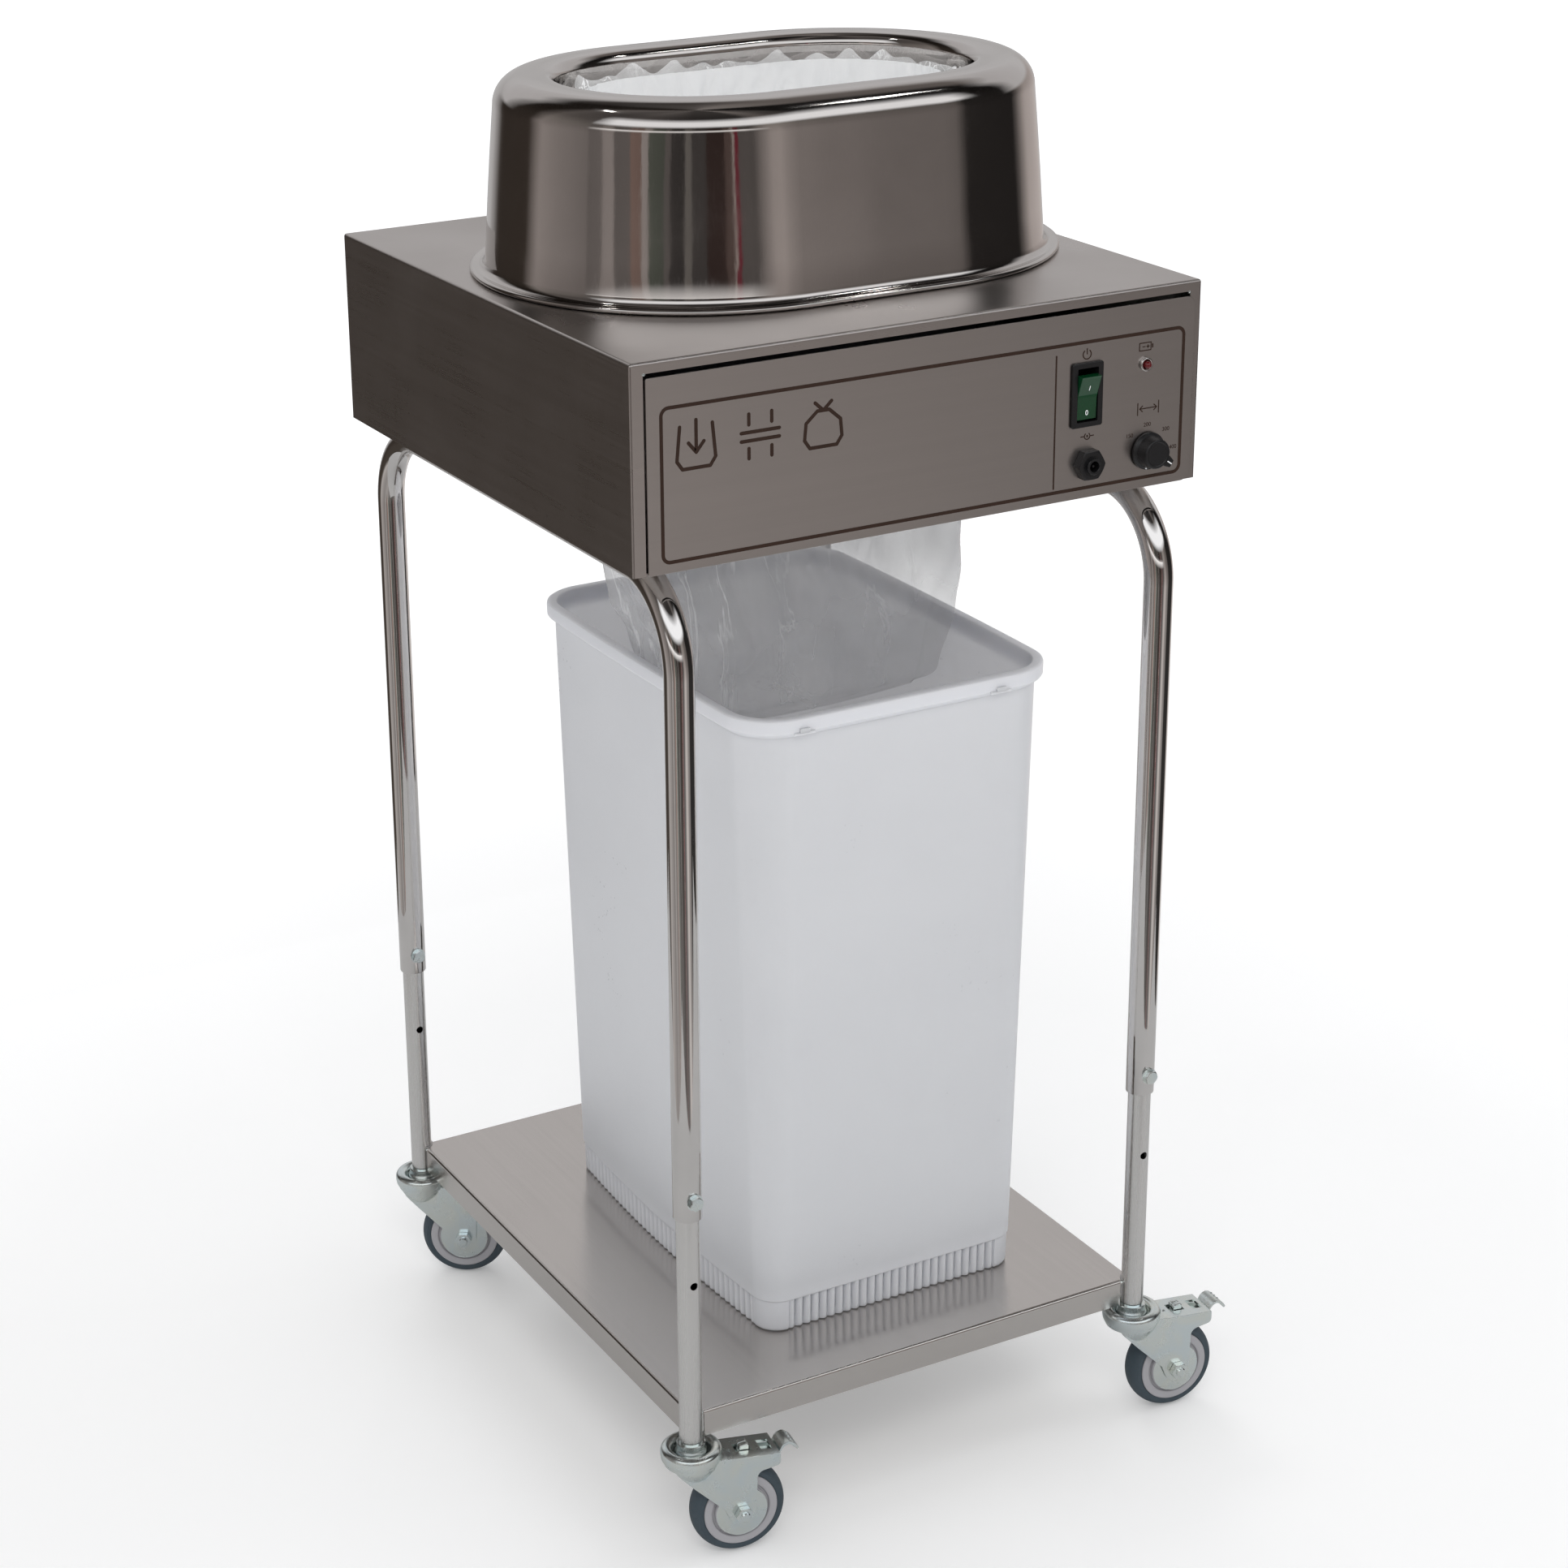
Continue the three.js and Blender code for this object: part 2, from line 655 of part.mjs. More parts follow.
function sideBracket(name, side) {
  const x0 = side * BRACKET_X - 1.5;
  let plate = block(x0, x0 + 3, -56, 56, HOUSING_BOTTOM + GAP + SHEET + GAP, 898);
  [-ROLLER_Y, ROLLER_Y].forEach((y) => {
    const bore = bar('x', SPINDLE_R + RUNNING_GAP, x0 - 1, x0 + 4, [0, y, ROLLER_Z]);
    plate = plate.subtract(bore);
  });
  return piece(name, plate, satinTube());
}

// A rubber-covered roller with its spindle ends in the two brackets
function feedRoller(name, y) {
  const end = BRACKET_X - 2.2;
  const roller = bar('x', ROLLER_R, -end, end, [0, 0, 0], 24)
    .add(bar('x', SPINDLE_R, -BRACKET_X - 6, BRACKET_X + 6, [0, 0, 0]));
  const mesh = piece(name, roller, rubber());
  mesh.position.set(0, y, ROLLER_Z);
  return mesh;
}

function frontSealBar() {
  const end = BRACKET_X - 1.5 - GAP;
  return piece('seal_bar_front', block(-end, end, -26, -8, BAR_BOTTOM, BAR_TOP), satinTube());
}

// The moving heater bar and the two rods that push it
function rearSealBar() {
  const rods = [-PUSH_ROD_X, PUSH_ROD_X].map((x) => (
    bar('y', PUSH_ROD_R, JAW_OPEN + 14, 92, [x, 0, (BAR_BOTTOM + BAR_TOP) / 2], 16)
  ));
  const jaw = block(-162, 162, JAW_OPEN, JAW_OPEN + 16, BAR_BOTTOM, BAR_TOP);
  return piece('seal_bar_rear', jaw.add(rods[0]).add(rods[1]), zinc());
}

function sealActuator() {
  const floor = HOUSING_BOTTOM + 2 * GAP + SHEET;
  let body = block(-60, 60, 64, 126, floor, BAR_TOP + 8);
  [-PUSH_ROD_X, PUSH_ROD_X].forEach((x) => {
    const bore = bar('y', PUSH_ROD_R + RUNNING_GAP, 60, 100, [x, 0, (BAR_BOTTOM + BAR_TOP) / 2]);
    body = body.subtract(bore);
  });
  return piece('seal_actuator', body, blackPlastic());
}

// The gear motor sits on the right-hand bracket, in line with the front roller
function feedMotor() {
  const start = BRACKET_X + 6 + GAP;
  const motor = bar('x', 14, start + 8, start + 42, [0, -ROLLER_Y, ROLLER_Z])
    .add(block(start, start + 9, -ROLLER_Y - 17, -ROLLER_Y + 17, ROLLER_Z - 17, ROLLER_Z + 17));
  return piece('feed_motor', motor, satinTube());
}

function batteryPack() {
  const floor = HOUSING_BOTTOM + 2 * GAP + SHEET;
  const terminal = (x) => block(x - 3, x + 3, 188, 194, floor + 93, floor + 99);
  const battery = block(-225, -74, 150, 215, floor, floor + 94)
    .add(terminal(-210))
    .add(terminal(-89));
  return piece('battery_pack', battery, blackPlastic());
}

function controlBoard() {
  const board = block(70, 222, -204, -202.4, 800, 915)
    .add(block(90, 122, -202.5, -188, 850, 890))
    .add(block(140, 152, -202.5, -182, 820, 832))
    .add(block(170, 200, -202.5, -194, 860, 880));
  return piece('control_board', board, material(0x1f5a36, 0.5, 0));
}

function sealingUnit() {
  const group = new THREE.Group();
  group.position.x = FILM_X;
  group.add(
    sideBracket('side_bracket_left', -1),
    sideBracket('side_bracket_right', 1),
    feedRoller('feed_roller_front', -ROLLER_Y),
    feedRoller('feed_roller_rear', ROLLER_Y),
    frontSealBar(),
    rearSealBar(),
    sealActuator(),
    feedMotor(),
  );
  return group;
}

// ---------------------------------------------------------------------------
// Film: the oval collar, the cassette round it, the throat and the open bag
// ---------------------------------------------------------------------------
const COLLAR_R = 90;
const COLLAR_TOP = 1054;
const CASSETTE_INNER_R = 96;
const CASSETTE_OUTER_R = 136;
const CASSETTE_HEIGHT = 78;
const THROAT_TOP = 1050;
const NIP_TOP = 893;
const FUNNEL_WIDE_Z = 930;
const FUNNEL_DEEP_Z = 1000;
const FILM_HALF_THICKNESS = 2;
const SEAL_LINE_Z = 819;

function filmCollar() {
  const foot = HOUSING_TOP + GAP;
  const collar = ovalSweep([
    [COLLAR_R + 1.5, foot],
    [COLLAR_R + 14, foot],
    [COLLAR_R + 14, foot + 1.5],
    [COLLAR_R + 1.5, foot + 1.5],
    [COLLAR_R + 1.5, COLLAR_TOP - 4],
    [COLLAR_R + 3.5, COLLAR_TOP],
    [COLLAR_R + 2, COLLAR_TOP + 1],
    [COLLAR_R, COLLAR_TOP - 4],
    [COLLAR_R, foot],
  ], OVAL_HALF_SPINE);
  return piece('film_collar', collar, polishedSteel());
}

// The folded stock of film round the collar, with a lip at the top
function filmCassette() {
  const bottom = HOUSING_TOP + GAP + 1.5 + GAP;
  const top = bottom + CASSETTE_HEIGHT;
  const cassette = ovalSweep([
    [CASSETTE_INNER_R, bottom],
    [CASSETTE_OUTER_R, bottom],
    [CASSETTE_OUTER_R, top - 4],
    [CASSETTE_OUTER_R - 4, top],
    [CASSETTE_INNER_R, top],
  ], OVAL_HALF_SPINE);
  return piece('film_cassette', cassette, film());
}

// An oval outline whose half widths are given, with the same number of points
// for every size
function ovalOutline(halfWidth, halfDepth, x = 0, y = 0, steps = 6) {
  const spine = halfWidth - halfDepth;
  return [
    ...arc(x + spine, y, halfDepth, -90, 90, steps),
    ...arc(x - spine, y, halfDepth, 90, 270, steps),
  ];
}

// The film inside the collar: a funnel from the oval opening down to the flat
// nip between the rollers, with a wall of its own. It narrows to the collar's
// width below the housing's top and to its depth higher up.
function filmThroat() {
  const rise = (z, end) => THREE.MathUtils.clamp((z - NIP_TOP) / (end - NIP_TOP), 0, 1);
  const level = (z, inset) => {
    const halfWidth = THREE.MathUtils.lerp(
      FILM_TUBE_HALF_WIDTH, OVAL_HALF_SPINE + COLLAR_R - 2, rise(z, FUNNEL_WIDE_Z),
    );
    const halfDepth = THREE.MathUtils.lerp(
      FILM_HALF_THICKNESS + 1, COLLAR_R - 2, Math.sin((rise(z, FUNNEL_DEEP_Z) * Math.PI) / 2),
    );
    return { outline: ovalOutline(halfWidth - inset, halfDepth - inset), z: z + 2 * inset };
  };
  const heights = [NIP_TOP, 908, 930, 960, FUNNEL_DEEP_Z];
  const shell = loft([
    ...heights.map((z) => level(z, 0)),
    level(THROAT_TOP, 0),
    level(THROAT_TOP - 3, 1.5),
    ...heights.map((z) => level(z, 1.5)).reverse(),
  ]);
  const tail = block(
    -FILM_TUBE_HALF_WIDTH, FILM_TUBE_HALF_WIDTH,
    -FILM_HALF_THICKNESS, FILM_HALF_THICKNESS, SEAL_LINE_Z + GAP, NIP_TOP + 1,
  );
  return piece('film_throat', shell.add(tail), film());
}

// The open bag below the seal: flat at the seal, a wide tube at the housing's
// slot, and flat again at its welded bottom edge inside the bin
function filmBag() {
  const sections = [
    { z: SEAL_LINE_Z, halfWidth: FILM_TUBE_HALF_WIDTH, halfDepth: FILM_HALF_THICKNESS, x: 0, y: 0 },
    { z: 806, halfWidth: 162, halfDepth: 16, x: 0, y: -3 },
    { z: 780, halfWidth: 160, halfDepth: 32, x: 2, y: SLOT_Y },
    { z: 720, halfWidth: 152, halfDepth: 46, x: 5, y: -10 },
    { z: 650, halfWidth: 126, halfDepth: 48, x: 7, y: -14 },
    { z: 600, halfWidth: 122, halfDepth: 30, x: 7, y: -16 },
    { z: 572, halfWidth: 118, halfDepth: FILM_HALF_THICKNESS, x: 7, y: -16 },
  ];
  const bag = loft(sections.map(({ z, halfWidth, halfDepth, x, y }) => (
    { z, outline: ovalOutline(halfWidth, halfDepth, x, y) }
  )));
  return piece('film_bag', bag, film());
}

function filmGroup() {
  const group = new THREE.Group();
  group.position.x = FILM_X;
  group.add(filmCollar(), filmCassette(), filmThroat(), filmBag());
  return group;
}

// ---------------------------------------------------------------------------
// Hood: one spun and polished oval cover with a beaded foot and a rolled mouth
// ---------------------------------------------------------------------------
const HOOD_FOOT_R = 171;
const HOOD_WALL_FOOT_R = 159;
const HOOD_WALL_TOP_R = 150;
const HOOD_SHOULDER_Z = 1062;
const HOOD_TOP = 1085;
const HOOD_SHOULDER_R = 22;
const HOOD_MOUTH_R = 103;
const HOOD_SHEET = 1.4;

function hood() {
  const foot = HOUSING_TOP + GAP;
  const shoulderCentre = [HOOD_WALL_TOP_R - HOOD_SHOULDER_R, HOOD_SHOULDER_Z];
  const mouthCentre = [HOOD_MOUTH_R + 9, HOOD_TOP - 9 - 1.5];
  const outside = [
    [HOOD_FOOT_R - 2, foot],
    [HOOD_FOOT_R, foot + 2],
    [HOOD_FOOT_R - 1.5, foot + 4],
    [HOOD_WALL_FOOT_R + 3.5, foot + 3],
    [HOOD_WALL_FOOT_R, foot + 8],
    ...arc(...shoulderCentre, HOOD_SHOULDER_R, 0, 80, 5),
    ...arc(...mouthCentre, 9, 95, 180, 4),
    [HOOD_MOUTH_R, HOOD_TOP - 24],
  ];
  const inside = [
    [HOOD_MOUTH_R + HOOD_SHEET, HOOD_TOP - 24],
    ...arc(...mouthCentre, 9 - HOOD_SHEET, 180, 95, 4),
    ...arc(...shoulderCentre, HOOD_SHOULDER_R - HOOD_SHEET, 80, 0, 5),
    [HOOD_WALL_FOOT_R - HOOD_SHEET, foot + 8],
    [HOOD_WALL_FOOT_R + 1, foot],
  ];
  const mesh = piece(
    'hood', ovalSweep([...outside, ...inside], OVAL_HALF_SPINE, 10), polishedSteel(),
  );
  mesh.position.x = FILM_X;
  return mesh;
}

// ---------------------------------------------------------------------------
// Waste bin: a tapered moulding with bowed long sides and a thick rim
// ---------------------------------------------------------------------------
const BIN_FOOT = { width: 250, depth: 331, corner: 42, bow: 6 };
const BIN_MOUTH = { width: 263, depth: 350, corner: 36, bow: 2 };
const BIN_RIM_OUT = 6.5;
const BIN_RIM_HEIGHT = 16;
const BIN_CORNER_STEPS = 5;
const BIN_SIDE_STEPS = 4;

// A rounded rectangle whose two long sides bow outwards
function binOutline(size, inset) {
  const radius = Math.max(size.corner - inset, 4);
  const x = size.width / 2 - inset - radius;
  const y = size.depth / 2 - inset - radius;
  const corner = (sx, sy, start) => (
    arc(sx * x, sy * y, radius, start, start + 90, BIN_CORNER_STEPS)
  );
  const bowed = (side) => Array.from({ length: BIN_SIDE_STEPS - 1 }, (_, i) => {
    const along = (2 * (i + 1)) / BIN_SIDE_STEPS - 1;
    return [side * (x + radius + size.bow * (1 - along * along)), side * along * y];
  });
  return [
    ...corner(1, -1, -90),
    ...bowed(1),
    ...corner(1, 1, 0),
    ...corner(-1, 1, 90),
    ...bowed(-1),
    ...corner(-1, -1, 180),
  ];
}

function binSizeAt(share) {
  const mix = (key) => THREE.MathUtils.lerp(BIN_FOOT[key], BIN_MOUTH[key], share);
  return { width: mix('width'), depth: mix('depth'), corner: mix('corner'), bow: mix('bow') };
}

function wasteBin() {
  const level = (share, inset, z) => ({ outline: binOutline(binSizeAt(share), inset), z });
  const rimUnder = BIN_HEIGHT - BIN_RIM_HEIGHT;
  const floor = 4;
  const body = loft([
    level(0, 0, 0),
    level(1, 0, rimUnder),
    level(1, -BIN_RIM_OUT, rimUnder + 5),
    level(1, -BIN_RIM_OUT, BIN_HEIGHT - 1),
    level(1, 1 - BIN_RIM_OUT, BIN_HEIGHT),
    level(1, BIN_WALL, BIN_HEIGHT),
    level(0, BIN_WALL, floor),
  ]);
  const mesh = piece('waste_bin', body, binPlastic());
  mesh.position.set(BIN_X, BIN_Y, SHELF_TOP + GAP);
  return mesh;
}

// ---------------------------------------------------------------------------
// Assembly, shifted so that the origin is on the floor under the middle of
// everything
// ---------------------------------------------------------------------------
const machine = new THREE.Group();
machine.add(
  shelf(),
  ...CASTORS.map(lowerLeg),
  ...CASTORS.map(castorGroup),
  hoop('hoop_left', -LEG_X),
  hoop('hoop_right', LEG_X),
  ...CASTORS.map(legBolt),
  housingShell(),
  basePlate(),
  panelGroup(),
  batteryPack(),
  controlBoard(),
  sealingUnit(),
  filmGroup(),
  hood(),
  wasteBin(),
);
const bounds = new THREE.Box3().setFromObject(machine, true);
const middle = bounds.getCenter(new THREE.Vector3());
machine.position.set(-middle.x, -middle.y, -bounds.min.z);

const model = new THREE.Group();
model.add(machine);

export default model;
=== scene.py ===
"""The look of the mobile waste-bag sealing stand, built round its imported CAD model.

Shapes are written in millimetres in the stand's own frame, whose Z axis runs up
the middle between the four legs, and are placed in the row frame by MM.
"""

import math

import bmesh
import bpy
from mathutils import Matrix, Vector, noise


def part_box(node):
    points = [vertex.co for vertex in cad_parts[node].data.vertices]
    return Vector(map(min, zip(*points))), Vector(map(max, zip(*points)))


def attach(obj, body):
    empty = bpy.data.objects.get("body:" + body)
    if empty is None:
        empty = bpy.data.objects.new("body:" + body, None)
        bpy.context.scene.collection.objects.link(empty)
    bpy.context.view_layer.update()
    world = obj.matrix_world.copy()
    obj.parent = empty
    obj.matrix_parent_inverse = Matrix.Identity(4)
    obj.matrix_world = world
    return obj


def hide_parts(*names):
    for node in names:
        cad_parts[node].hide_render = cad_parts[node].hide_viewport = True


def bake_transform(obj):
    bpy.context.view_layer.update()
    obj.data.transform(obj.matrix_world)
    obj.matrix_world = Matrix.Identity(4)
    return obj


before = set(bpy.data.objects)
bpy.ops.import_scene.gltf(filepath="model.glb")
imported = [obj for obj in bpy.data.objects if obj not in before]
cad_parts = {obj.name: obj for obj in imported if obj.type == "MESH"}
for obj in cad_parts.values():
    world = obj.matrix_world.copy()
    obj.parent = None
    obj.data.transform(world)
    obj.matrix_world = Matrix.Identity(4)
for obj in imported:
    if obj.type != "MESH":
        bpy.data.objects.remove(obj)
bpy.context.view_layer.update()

housing_low, housing_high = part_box("housing_shell")
MIDDLE = Vector((
    (housing_low.x + housing_high.x) / 2, (housing_low.y + housing_high.y) / 2, 0,
))
MM = Matrix.Translation(MIDDLE) @ Matrix.Scale(0.001, 4)

# Dimensions shared by several pieces, the CAD model's own
LEG_X, LEG_Y = 203, 247
UPPER_TUBE_R, UPPER_BORE_R, UPPER_TUBE_END = 11, 9.5, 292
LOWER_TUBE_R, LOWER_BORE_R = 8.9, 7.4
LOWER_TUBE_SPAN = (102.4, 520)
LEG_BOLT_Z, HOLE_PITCH = 309, 71.5
HOUSING_X, HOUSING_Y = 235, 243
HOUSING_BOTTOM, HOUSING_TOP = 789, 939
SHEET, GAP = 1.5, 0.3
FILM_X, HALF_SPINE = 10, 60
SHELF_TOP, SHELF_LIP = 123, 22
BIN_X, BIN_Y, BIN_Z, BIN_HEIGHT, BIN_WALL = 18, -16, SHELF_TOP + GAP, 519, 2.4
WHEEL_R, TRAIL = 37.5, 36
CASTORS = (
    ("front_left", -LEG_X, -LEG_Y, -9, True),
    ("front_right", LEG_X, -LEG_Y, -5, True),
    ("rear_left", -LEG_X, LEG_Y, -31, False),
    ("rear_right", LEG_X, LEG_Y, -20, False),
)


# ---- Materials
def add_node(tree, kind, inputs=(), **settings):
    """A shader node with its settings, its inputs joined to sockets or given values."""
    made = tree.nodes.new("ShaderNode" + kind)
    for key, value in settings.items():
        setattr(made, key, value)
    for key, value in dict(inputs).items():
        if isinstance(value, bpy.types.NodeSocket):
            tree.links.new(value, made.inputs[key])
        else:
            made.inputs[key].default_value = value
    return made


class Surface:
    """A Principled material and short calls to build its node tree."""

    def __init__(self, name, color, roughness, metallic=0.0, **sockets):
        self.material = bpy.data.materials.new(name)
        self.material.use_nodes = True
        self.tree = self.material.node_tree
        self.shader = self.tree.nodes["Principled BSDF"]
        self.shader.inputs["Base Color"].default_value = (*color, 1)
        self.shader.inputs["Roughness"].default_value = roughness
        self.shader.inputs["Metallic"].default_value = metallic
        for key, value in sockets.items():
            self.shader.inputs[key.replace("_", " ")].default_value = value
        self.place = self.node("TexCoord").outputs["Object"]
        self.normal = None

    def node(self, kind, inputs=(), **settings):
        return add_node(self.tree, kind, inputs, **settings)

    def noise(self, stretch, detail, rough=0.55, warp=0.0):
        """Noise over the object's own coordinates, in metres, stretched by axis."""
        spread = self.node("Mapping", {"Vector": self.place, "Scale": stretch})
        return self.node("TexNoise", {
            "Vector": spread.outputs[0], "Scale": 1.0, "Detail": detail,
            "Roughness": rough, "Distortion": warp,
        }).outputs[0]

    def ranged(self, value, low, high, start=0.3, end=0.7):
        """The value as it goes from start to end, most of a noise, made low to high."""
        return self.node("MapRange", {
            "Value": value, "From Min": start, "From Max": end,
            "To Min": low, "To Max": high,
        }).outputs[0]

    def math(self, operation, a, b=0.0):
        return self.node("Math", {0: a, 1: b}, operation=operation).outputs[0]

    def mix(self, share, a, b):
        """A mix of two colours, each a socket or an RGB tone."""
        colors = {key: tone if isinstance(tone, bpy.types.NodeSocket) else (*tone, 1)
                  for key, tone in ((6, a), (7, b))}
        return self.node("Mix", {0: share, **colors}, data_type="RGBA").outputs[2]

    def bump(self, height, distance, strength):
        """Adds a bump of that height in metres over the bumps made before it."""
        inputs = {"Height": height, "Distance": distance, "Strength": strength}
        if self.normal:
            inputs["Normal"] = self.normal
        self.normal = self.node("Bump", inputs).outputs[0]
        self.link("Normal", self.normal)

    def edge(self, radius):
        """1 on edges sharper than the radius, 0 on flat parts."""
        soft = self.node("Bevel", {"Radius": radius}, samples=4).outputs[0]
        true = self.node("NewGeometry").outputs["Normal"]
        dot = self.node("VectorMath", {0: soft, 1: true}, operation="DOT_PRODUCT")
        return self.ranged(self.math("SUBTRACT", 1.0, dot.outputs["Value"]), 0, 1, 0.01, 0.25)

    def link(self, socket, value):
        self.tree.links.new(value, self.shader.inputs[socket])


def shade(tone, factor):
    """A darker or lighter tone, no brighter than white."""
    return tuple(min(1, c * factor) for c in tone)


def brushed(name, tone, rough, grain, wave=0.0004):
    """Brushed stainless sheet: fine grain along one axis, smears and a painted highlight along
    its edges.
    """
    s = Surface(name, tone, rough, 1.0)
    fine = s.noise(grain, detail=2.0)
    coarse = s.noise([g * 0.22 for g in grain], detail=4.0)
    smears = s.noise((9, 9, 9), detail=5.0, rough=0.6, warp=0.4)
    # Painted highlight: the tone is made lighter along sharp edges
    edge_highlight = s.edge(0.0012)
    color = s.mix(s.ranged(coarse, 0, 1, 0.35, 0.7), shade(tone, 0.975), tone)
    s.link("Base Color", s.mix(s.math("MULTIPLY", edge_highlight, 0.3), color, shade(tone, 1.35)))
    level = s.math("ADD", s.ranged(fine, rough - 0.025, rough + 0.035),
                   s.ranged(smears, -0.03, 0.03))
    s.link("Roughness", level)
    s.bump(fine, 0.000012, 0.12)
    s.bump(s.noise((4, 4, 4), detail=0.5), wave, 0.4)
    return s.material


def polished(name, tone, rough, wave):
    """Polished or plated metal: faint waviness, haze and hairline scratches."""
    s = Surface(name, tone, rough, 1.0)
    haze = s.noise((14, 14, 14), detail=6.0, rough=0.65, warp=0.6)
    hairs = s.noise((900, 900, 60), detail=2.0, warp=0.2)
    s.link("Roughness", s.math(
        "ADD", s.ranged(haze, rough * 0.6, rough * 1.5, 0.35, 0.7),
        s.ranged(hairs, 0, 0.05, 0.55, 0.75)))
    s.link("Base Color", s.mix(s.ranged(haze, 0, 1), shade(tone, 0.93), tone))
    s.bump(s.noise((7, 7, 4), detail=1.5), wave, 0.5)
    s.bump(hairs, 0.00002, 0.3)
    return s.material


def plated(name, tone):
    """Bright zinc plate with a bluish and yellowish bloom, and a painted highlight along its
    edges.
    """
    s = Surface(name, tone, 0.24, 1.0)
    bloom = s.noise((45, 45, 45), detail=3.0, warp=0.8)
    grain = s.noise((90, 90, 90), detail=3.0)
    # Painted highlight: the tone is drawn lighter and whiter along sharp edges
    edge_highlight = s.edge(0.0009)
    red, green, blue = tone
    tint = s.mix(s.ranged(bloom, 0, 1, 0.35, 0.65), (red * 0.93, green * 0.98, blue),
                 (red, green, blue * 0.95))
    s.link("Base Color", s.mix(s.math("MULTIPLY", edge_highlight, 0.5), tint, (0.93, 0.95, 0.96)))
    s.link("Roughness", s.ranged(grain, 0.2, 0.3))
    s.bump(grain, 0.00003, 0.25)
    return s.material


def moulded(name, tone, rough, texture, depth, spread, **sockets):
    """Moulded plastic or rubber: a fine texture, and a slight spread of colour and gloss."""
    s = Surface(name, tone, rough, 0.0, **sockets)
    fine = s.noise((texture,) * 3, detail=2.0)
    broad = s.noise((12, 12, 12), detail=4.0, warp=0.5)
    s.link("Base Color", s.mix(s.ranged(broad, 0, 1), shade(tone, 1 - spread),
                               shade(tone, 1 + spread)))
    s.link("Roughness", s.math("ADD", s.ranged(fine, rough - 0.05, rough + 0.05),
                               s.ranged(broad, -0.05, 0.05)))
    s.bump(fine, depth, 0.6)
    return s.material


FADE_HEIGHTS = (0.62, 0.7)  # metres up, from faint film to whole


def clear_film(name, tone, veil, crease, stretch, fade=1.0, glow=0.0):
    """Thin clear film: a faint veil, denser edge on, with painted highlights along its creases.

    Low in the bin, only the share fade of its veil and creases is left. The glow
    stands for light that comes through the film from its far side.
    """
    s = Surface(name, tone, 0.16, 0.0, Specular_IOR_Level=0.8,
                Emission_Color=(1, 1, 1, 1), Emission_Strength=glow)
    wrinkle = s.noise(stretch, detail=4.0, rough=0.55, warp=0.7)
    line = s.math("ABSOLUTE", s.math("SUBTRACT", wrinkle, 0.5))
    sharp = s.ranged(line, 1, 0, 0.0, 0.02)
    patch = s.ranged(s.noise((13, 13, 6), detail=2.0), 0, 1, 0.44, 0.62)
    # Painted highlights: the creases are drawn whiter and more opaque than the rest of the film
    crease_highlights = s.math("MULTIPLY", sharp, patch)
    facing = s.node("LayerWeight", {"Blend": 0.3}).outputs["Facing"]
    rim = s.math("MULTIPLY", s.math("POWER", facing, 3.0), 0.5)
    cloud = s.ranged(s.noise((9, 9, 3), detail=3.0), veil * 0.5, veil * 1.5)
    alpha = s.math("ADD", s.math("ADD", cloud, rim), s.math("MULTIPLY", crease_highlights, crease))
    up = s.node("SeparateXYZ", {0: s.place}).outputs[2]
    alpha = s.math("MULTIPLY", alpha, s.ranged(up, fade, 1, *FADE_HEIGHTS))
    s.link("Alpha", s.math("MINIMUM", alpha, 1.0))
    s.link("Base Color", s.mix(crease_highlights, tone, (0.92, 0.93, 0.94)))
    s.link("Roughness", s.ranged(wrinkle, 0.08, 0.26))
    s.bump(wrinkle, 0.003, 0.7)
    return s.material


STEEL_TONE = (0.55, 0.515, 0.495)
M_PANEL = brushed("panel steel", STEEL_TONE, 0.34, (6, 6, 1100))
M_HOUSING = brushed("housing steel", STEEL_TONE, 0.3, (6, 6, 900), 0.0007)
M_TOP = brushed("shelf steel", (0.63, 0.6, 0.575), 0.2, (900, 5, 900), 0.0001)
M_HOOD = polished("polished hood steel", (0.58, 0.55, 0.53), 0.075, 0.004)
M_CHROME = polished("chrome tube", (0.74, 0.72, 0.705), 0.05, 0.0004)
M_TUBE = brushed("satin tube steel", (0.78, 0.77, 0.755), 0.26, (900, 900, 5))
M_INNER = brushed("inner steel", (0.5, 0.49, 0.48), 0.35, (700, 6, 700))
M_ZINC = plated("zinc plate", (0.8, 0.84, 0.84))
M_BIN = moulded("bin plastic", (0.735, 0.745, 0.78), 0.36, 260, 0.00007, 0.012,
                Subsurface_Weight=0.7, Subsurface_Radius=(1.0, 0.97, 0.95),
                Subsurface_Scale=0.012)
M_TYRE = moulded("grey rubber", (0.042, 0.062, 0.078), 0.6, 300, 0.00015, 0.12)
M_ROLLER = moulded("roller rubber", (0.03, 0.03, 0.032), 0.7, 400, 0.0001, 0.1)
M_HUB = moulded("hub plastic", (0.37, 0.365, 0.385), 0.45, 300, 0.00008, 0.05)
M_BLACK = moulded("black plastic", (0.008, 0.008, 0.009), 0.34, 500, 0.00006, 0.1)
M_PRINT = moulded("brown print", (0.034, 0.017, 0.011), 0.6, 800, 0.00002, 0.1,
                  Specular_IOR_Level=0.25)
M_WHITE = moulded("white print", (0.85, 0.86, 0.87), 0.5, 800, 0.00002, 0.03)
M_GREEN = moulded("green rocker", (0.002, 0.04, 0.013), 0.16, 200, 0.00002, 0.12,
                  Coat_Weight=0.4)
M_RED = moulded("red lens", (0.1, 0.006, 0.008), 0.12, 200, 0.00002, 0.1, Coat_Weight=0.6)
M_BOARD = moulded("circuit board", (0.03, 0.16, 0.06), 0.4, 300, 0.0001, 0.15)
M_STOCK = moulded("folded film stock", (0.78, 0.79, 0.81), 0.28, 90, 0.0008, 0.06)
M_FILM = clear_film("clear film", (0.57, 0.57, 0.585), 0.5, 0.35, (24, 24, 1.8), 0.45)
